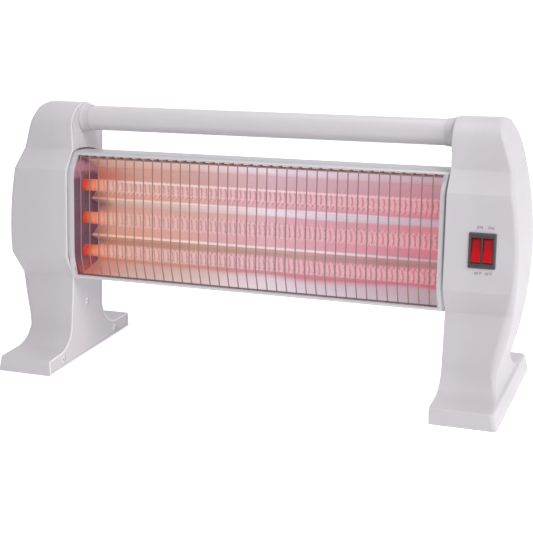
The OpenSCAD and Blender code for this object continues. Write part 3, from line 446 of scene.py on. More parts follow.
def noise(tree, scale, detail, stretch=None, roughness=0.5):
    """Noise over the object: one scale per metre, or three where it is stretched."""
    place = place_of(tree)
    if stretch:
        place = node(tree, "ShaderNodeMapping",
                     {"Vector": place, "Scale": stretch}).outputs["Vector"]
    return node(tree, "ShaderNodeTexNoise", {
        "Vector": place, "Scale": scale, "Detail": detail, "Roughness": roughness,
    }).outputs["Fac"]


def swayed(tree, value, cloud, amount, clamp=False):
    """A value that a noise moves up and down."""
    return maths(tree, "MULTIPLY_ADD", maths(tree, "SUBTRACT", cloud, 0.5), amount, value, clamp)


def bump(tree, height, distance, strength=1.0):
    return node(tree, "ShaderNodeBump", {
        "Height": height, "Distance": distance, "Strength": strength}).outputs["Normal"]


def group(name, inputs, outputs, build):
    """A shader node group: inputs are (name, default), outputs are (name, kind)."""
    tree = bpy.data.node_groups.new(name, "ShaderNodeTree")
    for title, default in inputs:
        kind = "NodeSocketColor" if isinstance(default, tuple) else "NodeSocketFloat"
        tree.interface.new_socket(title, in_out="INPUT", socket_type=kind).default_value = default
    for title, kind in outputs:
        tree.interface.new_socket(title, in_out="OUTPUT", socket_type="NodeSocket" + kind)
    source = tree.nodes.new("NodeGroupInput")
    target = tree.nodes.new("NodeGroupOutput")
    made = build(tree, {s.name: s for s in source.outputs if s.name})
    for title, _ in outputs:
        tree.links.new(made[title], target.inputs[title])
    return tree


def use_group(tree, which, **values):
    made = node(tree, "ShaderNodeGroup", node_tree=which)
    feed_named(tree, made.inputs, values)
    return made.outputs


# ---- effects that materials share ----

def moulded_skin(tree, given):
    """Fine texture of an injection moulding, with slow clouds of tone and gloss."""
    fine = noise(tree, given["Grain per metre"], 3.0, roughness=0.6)
    cloud = noise(tree, 14.0, 4.0)
    speck = node(tree, "ShaderNodeTexVoronoi", {"Vector": place_of(tree), "Scale": 420.0})
    dust = maths(tree, "LESS_THAN", speck.outputs["Distance"], 0.06)
    tone = swayed(tree, 1.0, cloud, given["Clouds"])
    tone = maths(tree, "SUBTRACT", tone, times(tree, dust, 0.02))
    return {"Colour": blend_colour(tree, 1.0, given["Colour"], tone, "MULTIPLY"),
            "Roughness": swayed(tree, given["Roughness"], cloud, 0.22), "Height": fine}


def rolled_metal(tree, given):
    """Sheet or wire: drawn along X, with long streaks and a slow tone."""
    streak = noise(tree, 1.0, 4.0, (6.0, 900.0, 900.0), 0.65)
    cloud = noise(tree, 22.0, 3.0)
    tone = times(tree, swayed(tree, 1.0, streak, given["Streaks"]),
                 spread(tree, cloud, 0.3, 0.7, 0.96, 1.03))
    return {"Colour": blend_colour(tree, 1.0, given["Colour"], tone, "MULTIPLY"),
            "Roughness": swayed(tree, given["Roughness"], streak, 0.3), "Height": streak}


def worn_and_lit_edges(tree, given):
    """A mask of the outer edges, broken up by noise, for edges lightened as wear and as a painted
    highlight.
    """
    shape = node(tree, "ShaderNodeNewGeometry").outputs["Pointiness"]
    ragged = swayed(tree, shape, noise(tree, 160.0, 4.0), 0.04)
    return {"Mask": times(tree, spread(tree, ragged, 0.505, 0.56), given["Amount"])}


def tube_warmth(tree, given):
    """The light of the tubes at a point: orange at the left end, pink to the right."""
    along = fade(tree, place_parts(tree)["X"], -190, 190)
    along = swayed(tree, along, noise(tree, 1.0, 2.0, (16.0, 40.0, 40.0)), 0.06, clamp=True)
    glow = ramp(tree, along, [
        (0.0, (0.64, 0.24, 0.15)), (0.04, (0.66, 0.34, 0.25)), (0.16, (0.69, 0.41, 0.34)),
        (0.5, (0.72, 0.45, 0.50)), (0.8, (0.68, 0.34, 0.40)), (1.0, (0.66, 0.22, 0.26))])
    deep = ramp(tree, along, [
        (0.0, (0.66, 0.13, 0.06)), (0.03, (0.64, 0.20, 0.12)), (0.08, (0.58, 0.25, 0.18)),
        (0.2, (0.57, 0.26, 0.21)), (0.55, (0.55, 0.23, 0.28)), (1.0, (0.56, 0.14, 0.18))])
    return {"Colour": blend_colour(tree, given["Depth of red"], glow, deep), "Along": along}


def curl_stripes(tree, given):
    """A mask of the coil's turns, painted as their glow on what stands before them and their
    reflection on what stands behind.
    """
    upright = maths(tree, "ABSOLUTE", facing_parts(tree)["Z"])
    bow = maths(tree, "SUBTRACT", 1.0, maths(tree, "POWER", upright, 2.0))
    shifted = maths(tree, "SUBTRACT", place_parts(tree)["X"], times(tree, bow, given["Bow"]))
    wave = maths(tree, "COSINE", maths(tree, "DIVIDE", shifted, COIL_PITCH * MM / (2 * math.pi)))
    return {"Mask": spread(tree, wave, 0.15, 0.8)}


SURFACE = [("Colour", "Color"), ("Roughness", "Float"), ("Height", "Float")]
SKIN = group("Moulded skin", [
    ("Colour", (0.6, 0.6, 0.6, 1)), ("Roughness", 0.45), ("Clouds", 0.05),
    ("Grain per metre", 900.0),
], SURFACE, moulded_skin)
ROLLED = group("Rolled metal", [
    ("Colour", (0.6, 0.6, 0.6, 1)), ("Roughness", 0.3), ("Streaks", 0.15),
], SURFACE, rolled_metal)
EDGES = group("Worn and lit edges", [("Amount", 0.5)], [("Mask", "Float")], worn_and_lit_edges)
WARMTH = group("Warmth along the tubes", [("Depth of red", 0.0)],
               [("Colour", "Color"), ("Along", "Float")], tube_warmth)
CURLS = group("Curls of the coil", [("Bow", 0.0)], [("Mask", "Float")], curl_stripes)


# ---- materials ----

def blank(name):
    """Files a new material under its name, which is its slot's, and gives its nodes and shader."""
    made = materials[name] = bpy.data.materials.new(name)
    made.use_nodes = True
    return made.node_tree, made.node_tree.nodes["Principled BSDF"]


def finish(tree, shader, skin, tone, depth, **rest):
    """Feeds the shader with a tone, and with the gloss and relief of a shared surface."""
    feed_named(tree, shader.inputs, {
        "Base Color": tone, "Roughness": skin["Roughness"],
        "Normal": bump(tree, skin["Height"], depth), **rest})


# Lightens the outer edges, as wear and as a painted highlight.
def with_worn_and_lit_edges(tree, tone, amount, colour):
    return blend_colour(tree, use_group(tree, EDGES, Amount=amount)["Mask"], tone, (*colour, 1))


def moulding(name, colour, roughness=0.45, clouds=0.05, grain=900.0, depth=0.00003, edge=None):
    tree, shader = blank(name)
    skin = use_group(tree, SKIN, Colour=(*colour, 1), Roughness=roughness, Clouds=clouds,
                     Grain_per_metre=grain)
    tone = skin["Colour"]
    if edge:
        tone = with_worn_and_lit_edges(tree, tone, 0.4, edge)
    finish(tree, shader, skin, tone, depth)


def metal(name, colour, roughness=0.3, streaks=0.15, metallic=1.0):
    tree, shader = blank(name)
    skin = use_group(tree, ROLLED, Colour=(*colour, 1), Roughness=roughness, Streaks=streaks)
    finish(tree, shader, skin, skin["Colour"], 0.00002, Metallic=metallic)


moulding("cover_plastic", (0.615, 0.58, 0.61), roughness=0.46, clouds=0.03)
moulding("plug_plastic", (0.55, 0.54, 0.57), roughness=0.5)
moulding("tube_coat", (0.67, 0.635, 0.665), roughness=0.33, clouds=0.02, grain=1500.0,
         depth=0.00002)
moulding("switch_plastic", (0.031, 0.029, 0.037), roughness=0.34, clouds=0.12,
         edge=(0.10, 0.10, 0.11))
moulding("gland_plastic", (0.07, 0.07, 0.075), roughness=0.5, clouds=0.1)
moulding("block_plastic", (0.72, 0.70, 0.64), roughness=0.4)
moulding("tilt_plastic", (0.02, 0.02, 0.022), roughness=0.4)
moulding("ceramic", (0.78, 0.74, 0.66), roughness=0.75, clouds=0.12, grain=2600.0, depth=0.00005)
metal("plated_steel", (0.62, 0.62, 0.63), roughness=0.28)
metal("brass", (0.68, 0.50, 0.22), roughness=0.28)
metal("wire_steel", (0.29, 0.18, 0.16), roughness=0.4, streaks=0.1, metallic=0.6)
metal("dull_steel", (0.17, 0.12, 0.15), roughness=0.4, streaks=0.1)
moulding("brown_sleeve", (0.10, 0.045, 0.02), roughness=0.5)
moulding("white_sleeve", (0.70, 0.68, 0.64), roughness=0.5)
moulding("blue_sleeve", (0.02, 0.08, 0.32), roughness=0.5)


def make_green_yellow_sleeve():
    """Earth sleeve: green with a yellow stripe that winds along it."""
    tree, shader = blank("green_sleeve")
    wave = node(tree, "ShaderNodeTexWave", {"Vector": place_of(tree), "Scale": 60.0},
                bands_direction="DIAGONAL")
    stripe = maths(tree, "GREATER_THAN", wave.outputs["Fac"], 0.55)
    tone = blend_colour(tree, stripe, (0.05, 0.25, 0.03, 1), (0.75, 0.60, 0.03, 1))
    skin = use_group(tree, SKIN, Colour=tone, Roughness=0.5)
    finish(tree, shader, skin, skin["Colour"], 0.00003)


def make_housing_plastic():
    """Pale lilac-grey moulding, with a painted highlight on the thin lip at the left housing's
    inner side.
    """
    tree, shader = blank("housing_plastic")
    skin = use_group(tree, SKIN, Colour=(0.60, 0.565, 0.60, 1), Roughness=0.42, Clouds=0.03)
    tone = with_worn_and_lit_edges(tree, skin["Colour"], 0.35, (0.70, 0.68, 0.71))
    # A painted highlight along the thin lip at the left housing's inner side.
    lip = strip(tree, place_parts(tree)["X"], -HALF - 0.5, -HALF + 3.0, 0.6)
    tone = blend_colour(tree, times(tree, lip, 0.7), tone, (0.86, 0.84, 0.86, 1))
    finish(tree, shader, skin, tone, 0.00003)


def make_case_coat():
    """Grey-lilac coat on sheet, with a painted shadow of the right housing as a dark line where the
    case enters it.
    """
    tree, shader = blank("case_coat")
    skin = use_group(tree, ROLLED, Colour=(0.44, 0.425, 0.455, 1), Roughness=0.42, Streaks=0.04)
    tone = with_worn_and_lit_edges(tree, skin["Colour"], 0.5, (0.75, 0.74, 0.76))
    place = place_parts(tree)
    # gap is a painted shadow that the right housing casts on the case, strongest partway up.
    gap = times(tree, fade(tree, place["X"], HALF - 3.3, HALF - 2.2),
                fade(tree, place["Z"], CREST_Z - 0.9, CREST_Z - 3.4),
                fade(tree, place["Z"], 90, 150, 0.35, 0.85))
    tone = blend_colour(tree, gap, tone, (0.10, 0.09, 0.12, 1))
    finish(tree, shader, skin, tone, 0.00002, Metallic=0.3)


def make_end_wall_steel():
    """Plated sheet painted dark for shade and dim reflections, with a painted pale reflection high
    up and a painted red glow at the foot.
    """
    tree, shader = blank("end_wall_steel")
    skin = use_group(tree, ROLLED, Colour=(0.13, 0.085, 0.14, 1), Roughness=0.3, Streaks=0.25)
    height = swayed(tree, place_parts(tree)["Z"], noise(tree, 60.0, 3.0), 35 * MM)
    # A painted pale reflection high up on the wall.
    pale_reflection = times(tree, strip(tree, height, 193, 205, 6), 0.8)
    tone = blend_colour(tree, pale_reflection, skin["Colour"], (0.50, 0.27, 0.36, 1))
    # A painted red glow of the tubes at the wall's foot.
    glow = fade(tree, height, 112, 94, 0.0, 0.8)
    tone = blend_colour(tree, glow, tone, (0.50, 0.12, 0.12, 1))
    # The wall glows faintly with its painted colours.
    finish(tree, shader, skin, tone, 0.00003, Metallic=0.3,
           Emission_Color=tone, Emission_Strength=0.25)


def make_mirror_sheet():
    """Dull bright sheet in folds, coloured with painted reflections: pale where it sees the room,
    red where it sees the tubes.

    Bands and lines lie between two heights in millimetres. The number after these is the width
    of their soft borders.
    """
    tree, shader = blank("mirror_sheet")
    skin = use_group(tree, ROLLED, Colour=(1.0, 0.98, 1.0, 1), Roughness=0.34, Streaks=0.10)
    place = place_parts(tree)
    light = use_group(tree, WARMTH, Depth_of_red=0.0)
    along = light["Along"]
    red = use_group(tree, WARMTH, Depth_of_red=0.75)["Colour"]
    dents = noise(tree, 1.0, 1.0, (9.0, 12.0, 12.0))
    height = swayed(tree, place["Z"], dents, 6 * MM)
    pale = ramp(tree, along, [(0.0, (0.36, 0.21, 0.18)), (0.05, (0.58, 0.40, 0.33)),
                              (0.28, (0.66, 0.54, 0.50)), (0.52, (0.76, 0.74, 0.80)),
                              (0.8, (0.60, 0.56, 0.62)), (1.0, (0.49, 0.43, 0.47))])
    brown = ramp(tree, along, [(0.0, (0.50, 0.24, 0.16)), (0.3, (0.53, 0.34, 0.27)),
                               (0.6, (0.53, 0.36, 0.34)), (1.0, (0.42, 0.22, 0.22))])
    glint = ramp(tree, along, [(0.0, (0.70, 0.32, 0.22)), (0.06, (0.88, 0.66, 0.50)),
                               (0.3, (0.92, 0.80, 0.76)), (0.7, (0.85, 0.76, 0.82)),
                               (1.0, (0.58, 0.40, 0.46))])

    # Painted reflections of the tubes, with their coil's curls, in a strip behind each tube.
    tube_reflections = strips(tree, place["Z"], ((169, 184), (135, 150), (100, 116)), 3)
    tone = blend_colour(tree, times(tree, tube_reflections, 0.25), light["Colour"], (0.9, 0.75, 0.78, 1))
    tone = blend_colour(tree, times(tree, tube_reflections, use_group(tree, CURLS)["Mask"]), tone, red)
    # Bands of painted reflection of the room and of the tubes, by height.
    for low, high, soft, colour in (
            (184, 198, 3, blend_colour(tree, 0.42, red, pale)), (199, 230, 7, pale),
            (156, 165.5, 2, pale), (115, 127.5, 2, brown), (97, 101, 2, red), (80, 96.6, 2, pale)):
        tone = blend_colour(tree, strip(tree, height, low, high, soft), tone, colour)
    # By the left end wall the folds' sides get painted shade, and painted red glows lie above and
    # below the tubes.

    shade = times(tree, strips(tree, place["Z"], ((152, 172), (116, 133)), 8),
                  fade(tree, place["X"], -170, -187, 0.0, 0.8))
    tone = blend_colour(tree, shade, tone, (0.27, 0.12, 0.14, 1))
    painted_red_glow = times(tree, strips(tree, place["Z"], ((182, 192), (80, 96)), 5),
                  fade(tree, place["X"], -140, -180, 0.0, 0.7))
    tone = blend_colour(tree, painted_red_glow, tone, (0.66, 0.17, 0.13, 1))
    # Painted highlights along the two ridges.
    fold_highlights = strips(tree, place["Z"], ((165.4, 167.0), (126.6, 128.4)), 0.8)
    tone = blend_colour(tree, fold_highlights, tone, glint)
    tone = blend_colour(tree, 1.0, tone, skin["Colour"], "MULTIPLY")

    # The front glows with the painted colours; the back is plain grey.
    rear = spread(tree, facing_parts(tree)["Y"], 0.0, 0.2)
    feed_named(tree, shader.inputs, {
        "Base Color": blend_colour(tree, rear, darkened(tree, tone, 0.45), (0.34, 0.33, 0.34, 1)),
        "Roughness": skin["Roughness"], "Metallic": 0.3,
        "Emission Color": darkened(tree, tone, rear), "Emission Strength": 0.60,
        "Normal": bump(tree, dents, 0.0006, 0.4)})


def make_quartz():
    """Clear quartz with slightly milky walls, with the coil's glow and curls painted on, orange at
    the left end.
    """
    tree, shader = blank("quartz")
    light = use_group(tree, WARMTH, Depth_of_red=0.0)
    along = light["Along"]
    red = use_group(tree, WARMTH, Depth_of_red=1.0)["Colour"]
    curls = times(tree, use_group(tree, CURLS, Bow=0.0022)["Mask"], 0.85)
    wall = blend_colour(tree, 0.24, light["Colour"], (0.92, 0.80, 0.82, 1))
    tone = blend_colour(tree, curls, wall, red)
    # A painted highlight along the top of the upper tube.
    gleam = times(tree, spread(tree, facing_parts(tree)["Z"], 0.80, 0.88),
                  spread(tree, along, 0.09, 0.15), spread(tree, along, 1.0, 0.55, 0.15, 0.85),
                  fade(tree, place_parts(tree)["Z"], TUBE_Z + 10, TUBE_Z + 20))
    tone = blend_colour(tree, gleam, tone, (0.95, 0.86, 0.86, 1))
    # Painted glow, orange and then red, towards the tube's left end.
    end = spread(tree, along, 0.09, 0.02)
    tone = blend_colour(tree, end, tone, (0.82, 0.21, 0.09, 1))
    tip = spread(tree, along, 0.035, 0.01)
    tone = blend_colour(tree, tip, tone, (0.64, 0.07, 0.04, 1))
    cloud = noise(tree, 60.0, 2.0)
    milk = maths(tree, "MULTIPLY_ADD", end, 0.25, spread(tree, cloud, 0.3, 0.7, 0.55, 0.65))
    feed_named(tree, shader.inputs, {
        "Base Color": darkened(tree, tone, 0.4), "Roughness": 0.15, "Alpha": milk,
        "Emission Color": tone, "Emission Strength": 0.55, "Normal": bump(tree, cloud, 0.0001)})
    materials["quartz"].surface_render_method = "BLENDED"


def make_coil_wire():
    """Resistance wire at a dull red heat, brighter and more orange at the left."""
    tree, shader = blank("coil_wire")
    warm = use_group(tree, WARMTH, Depth_of_red=1.0)
    scale = noise(tree, 900.0, 3.0)
    feed_named(tree, shader.inputs, {
        "Base Color": blend_colour(tree, scale, (0.30, 0.07, 0.04, 1), (0.45, 0.12, 0.09, 1)),
        "Roughness": 0.6, "Metallic": 0.3, "Emission Color": warm["Colour"],
        "Emission Strength": 0.6, "Normal": bump(tree, scale, 0.00004)})


def make_rocker_red():
    """Clear red rocker with a lamp behind it, with painted shade that darkens its upper half."""
    tree, shader = blank("rocker_red")
    up = fade(tree, place_parts(tree)["Z"], SWITCH_Z - 11, SWITCH_Z + 11)
    tone = ramp(tree, up, [(0.0, (0.44, 0.003, 0.007)), (0.45, (0.46, 0.003, 0.007)),
                           (0.62, (0.40, 0.003, 0.008)), (1.0, (0.30, 0.004, 0.010))])
    skin = use_group(tree, SKIN, Colour=tone, Roughness=0.5, Clouds=0.25, Grain_per_metre=500.0)
    finish(tree, shader, skin, skin["Colour"], 0.00002, Emission_Color=skin["Colour"],
           Emission_Strength=0.10, Specular_IOR_Level=0.2)


def make_label_ink():
    """Dark grey ink, unevenly printed."""
    tree, shader = blank("label_ink")
    patchy = noise(tree, 1400.0, 3.0)
    tone = blend_colour(tree, patchy, (0.10, 0.09, 0.11, 1), (0.20, 0.19, 0.21, 1))
    feed_named(tree, shader.inputs, {"Base Color": tone, "Roughness": 0.5})


make_green_yellow_sleeve()
make_housing_plastic()
make_case_coat()
make_end_wall_steel()
make_mirror_sheet()
make_quartz()
make_coil_wire()
make_rocker_red()
make_label_ink()

# ---- end housings ----

SWEEP_STEPS, BEND_STEPS, CROWN_STEPS, CORNER_STEPS = 14, 4, 16, 9


def sweep_point(neck_y, radius, lean, share, side):
    """A point of the sweep from the foot up to the leg, at a share of its turn."""
    a = share * (math.pi / 2 - lean)
    return np.array([side * (neck_y + radius * (1 - math.sin(a))),
                     sweep_low + radius * (1 - math.cos(a))])


def crown_point(reach, drop, degrees, side):
    """A point of the crown's arch, from its lower end at 0 degrees to its top."""
    a, top = math.radians(degrees), math.sin(math.radians(CROWN_ARC))
    return np.array([CROWN_Y + side * reach * math.cos(a), HEIGHT - drop * (1 - math.sin(a) / top)])


crown_reach = CROWN_Y - HEAD[0] - CROWN_SETBACK
crown_front = crown_point(crown_reach, CROWN_FRONT_H, 0, -1)
shin_top = sweep_point(SHIN_Y, SWEEP_FRONT_R, shin_lean, 1, -1)
bend_points = [shin_top, SHOULDER, BELLY_LOW, BELLY_HIGH, HEAD, crown_front]
front_bends = []
for i, count in enumerate((8, 2, 14, 2)):
    below, bend, above = bend_points[i:i + 3]
    front_bends += between(below, bend, count)
    front_bends += soft_corner(below, bend, above, BEND_LEN, BEND_STEPS)
crown_angles = [CROWN_ARC * i / CROWN_STEPS for i in range(CROWN_STEPS + 1)]


def half_path(side, neck_y, radius, lean, middle, crown):
    """The front or the back outline, from the floor up to the crown's top."""
    foot = side * FOOT_DEPTH / 2
    rim_z = FOOT_H - FOOT_BEVEL
    rim = [np.array([foot, 0.0]), np.array([foot, rim_z])]
    rim += [np.array([foot - side * FOOT_BEVEL * (1 - math.cos(a)),
                      rim_z + FOOT_BEVEL * math.sin(a)]) for a in quarter_turn(4)[1:]]
    sweep = [sweep_point(neck_y, radius, lean, i / SWEEP_STEPS, side)
             for i in range(SWEEP_STEPS + 1)]
    return rim + sweep + middle + crown


front_path = half_path(-1, SHIN_Y, SWEEP_FRONT_R, shin_lean, front_bends,
                       [crown_point(crown_reach, CROWN_FRONT_H, a, -1) for a in crown_angles])
back_path = half_path(1, CALF_Y, SWEEP_BACK_R, calf_lean, [back_at(p[1]) for p in front_bends],
                      [crown_point(NAPE_Y - CROWN_Y, CROWN_BACK_H, a, 1) for a in crown_angles])


def bulge_x(z):
    """The outer side's long bulge, as a distance from the inner face."""
    return END_W - BULGE_R + math.sqrt(BULGE_R ** 2 - (z - BULGE_Z) ** 2)


def side_x(z):
    """How far the outer side stands from the housing's inner face."""
    crown_side_z, sweep_z = HEIGHT - CROWN_SIDE_H, FOOT_H + SIDE_SWEEP_H
    rim_w = FOOT_W - FOOT_DRAFT
    if z <= FOOT_H - FOOT_BEVEL:
        return FOOT_W - FOOT_DRAFT * z / (FOOT_H - FOOT_BEVEL)
    if z <= FOOT_H:
        rise = (z - FOOT_H + FOOT_BEVEL) / FOOT_BEVEL
        return rim_w - FOOT_BEVEL * (1 - math.sqrt(max(0.0, 1 - rise ** 2)))
    if z < sweep_z:
        share = (z - FOOT_H) / SIDE_SWEEP_H
        flare = rim_w - FOOT_BEVEL - bulge_x(sweep_z)
        return bulge_x(sweep_z) + flare * (1 - math.sqrt(1 - (1 - share) ** 2))
    if z <= crown_side_z:
        return bulge_x(z)
    share = min((z - crown_side_z) / (CROWN_SIDE_H + 0.01), 1)
    return bulge_x(crown_side_z) - CROWN_SIDE_W * (1 - math.sqrt(1 - share ** 2))


def side_in(z, inset):
    """The outer side drawn in by the wall, sideways and also slantwise where it leans."""
    slant = DIAGONAL * inset
    return min(side_x(z) - inset, side_x(min(z + slant, HEIGHT)) - slant)


def smooth_share(s):
    """Eases a share from 0 up to 1."""
    return math.sin(math.pi / 2 * min(max(s, 0), 1))


def above_foot(z):
    """0 on the foot, 1 from where the leg starts."""
    return smooth_share((z - FOOT_H) / LEG_START)


def leg_share(z):
    """1 along the leg, 0 on the foot and on the belly."""
    rise = (z - FOOT_H - LEG_START) / LEG_RISE
    fall = (BELLY_LOW[1] + LEG_TOP - z) / LEG_FALL
    return smooth_share(min(rise, fall))


def long_edge_r(z):
    return FOOT_EDGE_R + (EDGE_R - FOOT_EDGE_R) * above_foot(z)


def edge_points(at, inward, radius, side):
    """The rounded long edge at one height, from the front or back round to the outer side."""
    out = []
    for a in quarter_turn(CORNER_STEPS):
        p = at + inward * radius * (1 - math.cos(a))
        out.append((HALF + side - radius * (1 - math.sin(a)), p[0], p[1]))
    return out


def ring(front, back, inset):
    """A skin's points at one height, from the front's inner edge round to the back's."""
    reach = float(np.linalg.norm(back - front))
    inward = (back - front) / reach
    leg = leg_share(front[1])
    front_r = min(long_edge_r(front[1]) + leg * LEG_EDGE_R - inset, MAX_EDGE_SHARE * reach)
    back_r = min(long_edge_r(back[1]) - inset, MAX_EDGE_SHARE * reach)
    drawn = SIDE_DRAFT * above_foot(front[1])
    front_x = side_in(front[1], inset) - drawn - leg * LEG_DRAW
    back_x = side_in(back[1], inset)
    return [(HALF, front[0], front[1]), (HALF + 0.5 * (front_x - front_r), front[0], front[1]),
            *edge_points(front, inward, front_r, front_x),
            *edge_points(back, -inward, back_r, back_x)[::-1],
            (HALF + 0.5 * (back_x - back_r), back[0], back[1]), (HALF, back[0], back[1])]


def housing_part():
    """The hollow moulding: outer and inner skins, joined by the rim at the inner face."""
    skins = []
    for inset in (0.0, WALL):
        front, back = shift_path(front_path, -inset), shift_path(back_path, inset)
        front[0], back[0] = np.array([front[0][0], inset]), np.array([back[0][0], inset])
        skins.append([ring(f, b, inset) for f, b in zip(front, back)])
    outer, inner = skins
    n, rows = len(outer[0]), len(outer)
    points = [p for r in outer for p in r] + [p for r in inner for p in r]
    shift = rows * n
    faces = []
    for i in range(rows - 1):
        for j in range(n - 1):
            quad = [i * n + j, (i + 1) * n + j, (i + 1) * n + j + 1, i * n + j + 1]
            faces += [quad, [shift + k for k in reversed(quad)]]
        for j, order in ((0, 1), (n - 1, -1)):
            rim = [i * n + j, (i + 1) * n + j, shift + (i + 1) * n + j, shift + i * n + j]
            faces.append(rim[::order])
    for row in (0, rows - 1):
        for j in range(n // 2 - 1):
            k = n - 1 - j
            for base in (0, shift):
                faces.append([base + row * n + j, base + row * n + j + 1,
                              base + row * n + k - 1, base + row * n + k])
        a, b = row * n, row * n + n - 1
        faces.append([a, b, shift + b, shift + a])
    return points, faces


def switch_matrix():
    """Puts what is built about the switch's middle on the leaning front panel."""
    place = Vector((HALF + SWITCH_X, panel_y(SWITCH_Z), SWITCH_Z))
    return Matrix.Translation(place) @ Matrix.Rotation(-lean_front, 4, "X")


def gland_matrix():
    """Puts what is built about the gland's axis, along Z, in the right housing's back."""
    place = Vector((HALF + GLAND_X, back_at(GLAND_Z)[0], GLAND_Z))
    return Matrix.Translation(place) @ Matrix.Rotation(-math.pi / 2 - calf_lean, 4, "X")


def build_housings():
    shell = housing_part()
    w, h = CUTOUT_W / 2, CUTOUT_H / 2
    cutout = placed(block((-w, -WALL, -h), (w, 3 * WALL, h)), switch_matrix())
    r = GLAND_NECK_D / 2 + GLAND_FIT
    hole = placed(loft([[(r * math.cos(a), r * math.sin(a), z) for a in angles_round(48)]
                        for z in (-8.0, 8.0)]), gland_matrix())
    piece("right_housing", shell, "housing_plastic", replaces=["right_outer_shell"], crisp=40,
          cuts=[cutout, hole])
    piece("left_housing", mirrored(shell), "housing_plastic", replaces=["left_outer_shell"],
          crisp=40)


# ---- case, mirror and guard ----

case_bends = shift_path([SHOULDER, BELLY_LOW, BELLY_HIGH, HEAD], -CASE_RECESS)
brow_z = CREST_Z - BROW_DROP


def arch_z(y):
    """The height of the case's arched top."""
    return CREST_Z - ARCH_R + math.sqrt(ARCH_R ** 2 - (y + CREST_Y) ** 2)


def case_back_at(z):
    """How far back the case's sheet stands at a height."""
    return back_at(z)[0] - CASE_BACK_GAP / math.cos(calf_lean)


def case_profile(bends):
    """The case's outline as (y, z), up the back and down the front, and its brow's point."""
    arch_steps = 14
    face = [on_line(bends[0], bends[1], CASE_LOW_Z)]
    face += soft_corner(bends[0], bends[1], bends[2], CASE_BEND_LEN, 8)
    face += soft_corner(bends[1], bends[2], bends[3], CASE_BEND_LEN, 8)
    face.append(on_line(bends[2], bends[3], brow_z))
    brow = face[-1]
    top_y = case_back_at(arch_z(case_back_at(HEAD[1])))
    arch = [np.array([y, arch_z(y)]) for y in
            [top_y + (brow[0] - top_y) * i / arch_steps for i in range(arch_steps)]]
    return [face[0], np.array([case_back_at(CASE_LOW_Z), CASE_LOW_Z])] + arch + face[:0:-1], brow


case_outline, brow = case_profile(case_bends)
toe_bends = [np.array([-TOE_Y, CASE_LOW_Z])] + case_bends[1:]
toe_outline, _ = case_profile(toe_bends)
toe_half = HALF - CLEARANCE
window_half = HALF - FRAME_W
case_half = HALF + CASE_REACH
end_wall_x = window_half + END_WALL_GAP
tubes = [np.array([-TUBE_Y + k * TUBE_PITCH * math.tan(lean_front), TUBE_Z + k * TUBE_PITCH])
         for k in (1, 0, -1)]


def sleeve(outline, x0, x1):
    """A sheet-metal sleeve of a closed outline, along X."""
    inner = shrink(outline, SHEET)
    return loft_round([[(x, p[0], p[1]) for p in edge] for x, edge in
                       ((x0, outline), (x1, outline), (x1, inner), (x0, inner))])


def back_slots():
    """Cutters for the rows of slots in the case's back."""
    slots = []
    count = int((HALF - SLOT_PITCH) // SLOT_PITCH)
    for z in SLOT_ROWS:
        y = case_back_at(z)
        for i in range(-count, count + 1):
            x = i * SLOT_PITCH
            slots.append(block((x - SLOT_W / 2, y - 4, z - SLOT_H / 2),
                               (x + SLOT_W / 2, y + 4, z + SLOT_H / 2)))
    return joined(slots)


def build_case():
    window = block((-window_half, -50, CASE_LOW_Z + LIP_LOW),
                   (window_half, brow[0] + 6, brow_z - LIP_TOP))
    piece("heater_case_skin", sleeve(toe_outline, -toe_half, toe_half), "case_coat",
          replaces=["heater_case"], crisp=35, cuts=[window, back_slots()])
    end = sleeve(case_outline, toe_half, case_half)
    piece("case_ends", joined([end, mirrored(end)]), "case_coat", crisp=35)


def mirror_path():
    """The mirror's section: channels behind the tubes, and two ridges between them."""
    channel_depth, ridge_depth, fold_h, edge_y, edge_gap = 27.0, 13.0, 7.0, 5.0, 1.2
    ridges = [TUBE_Z + TUBE_PITCH / 2, TUBE_Z - 0.65 * TUBE_PITCH]

    def at(z, depth):
        return np.array([-TUBE_Y + (z - TUBE_Z) * math.tan(lean_front) + depth, z])

    path = [brow + [edge_y, -SHEET - edge_gap], at(CREST_Z - 22, channel_depth)]
    for z in ridges:
        path += [at(z + fold_h, channel_depth), at(z, ridge_depth), at(z - fold_h, channel_depth)]
    path.append(at(CASE_LOW_Z + fold_h + 1, channel_depth))
    return path + [np.array([case_outline[0][0] + edge_y, CASE_LOW_Z + SHEET + edge_gap])]


def build_mirror():
    path = soft_path(mirror_path(), MIRROR_BEND_LEN, 5)
    outline = path + shift_path(path, MIRROR_T)[::-1]
    half, count = end_wall_x - FINE_GAP, 60
    stations = [-half + 2 * half * i / count for i in range(count + 1)]
    piece("folded_mirror", extrude_x(outline, stations), "mirror_sheet",
          replaces=["reflector"], crisp=60)


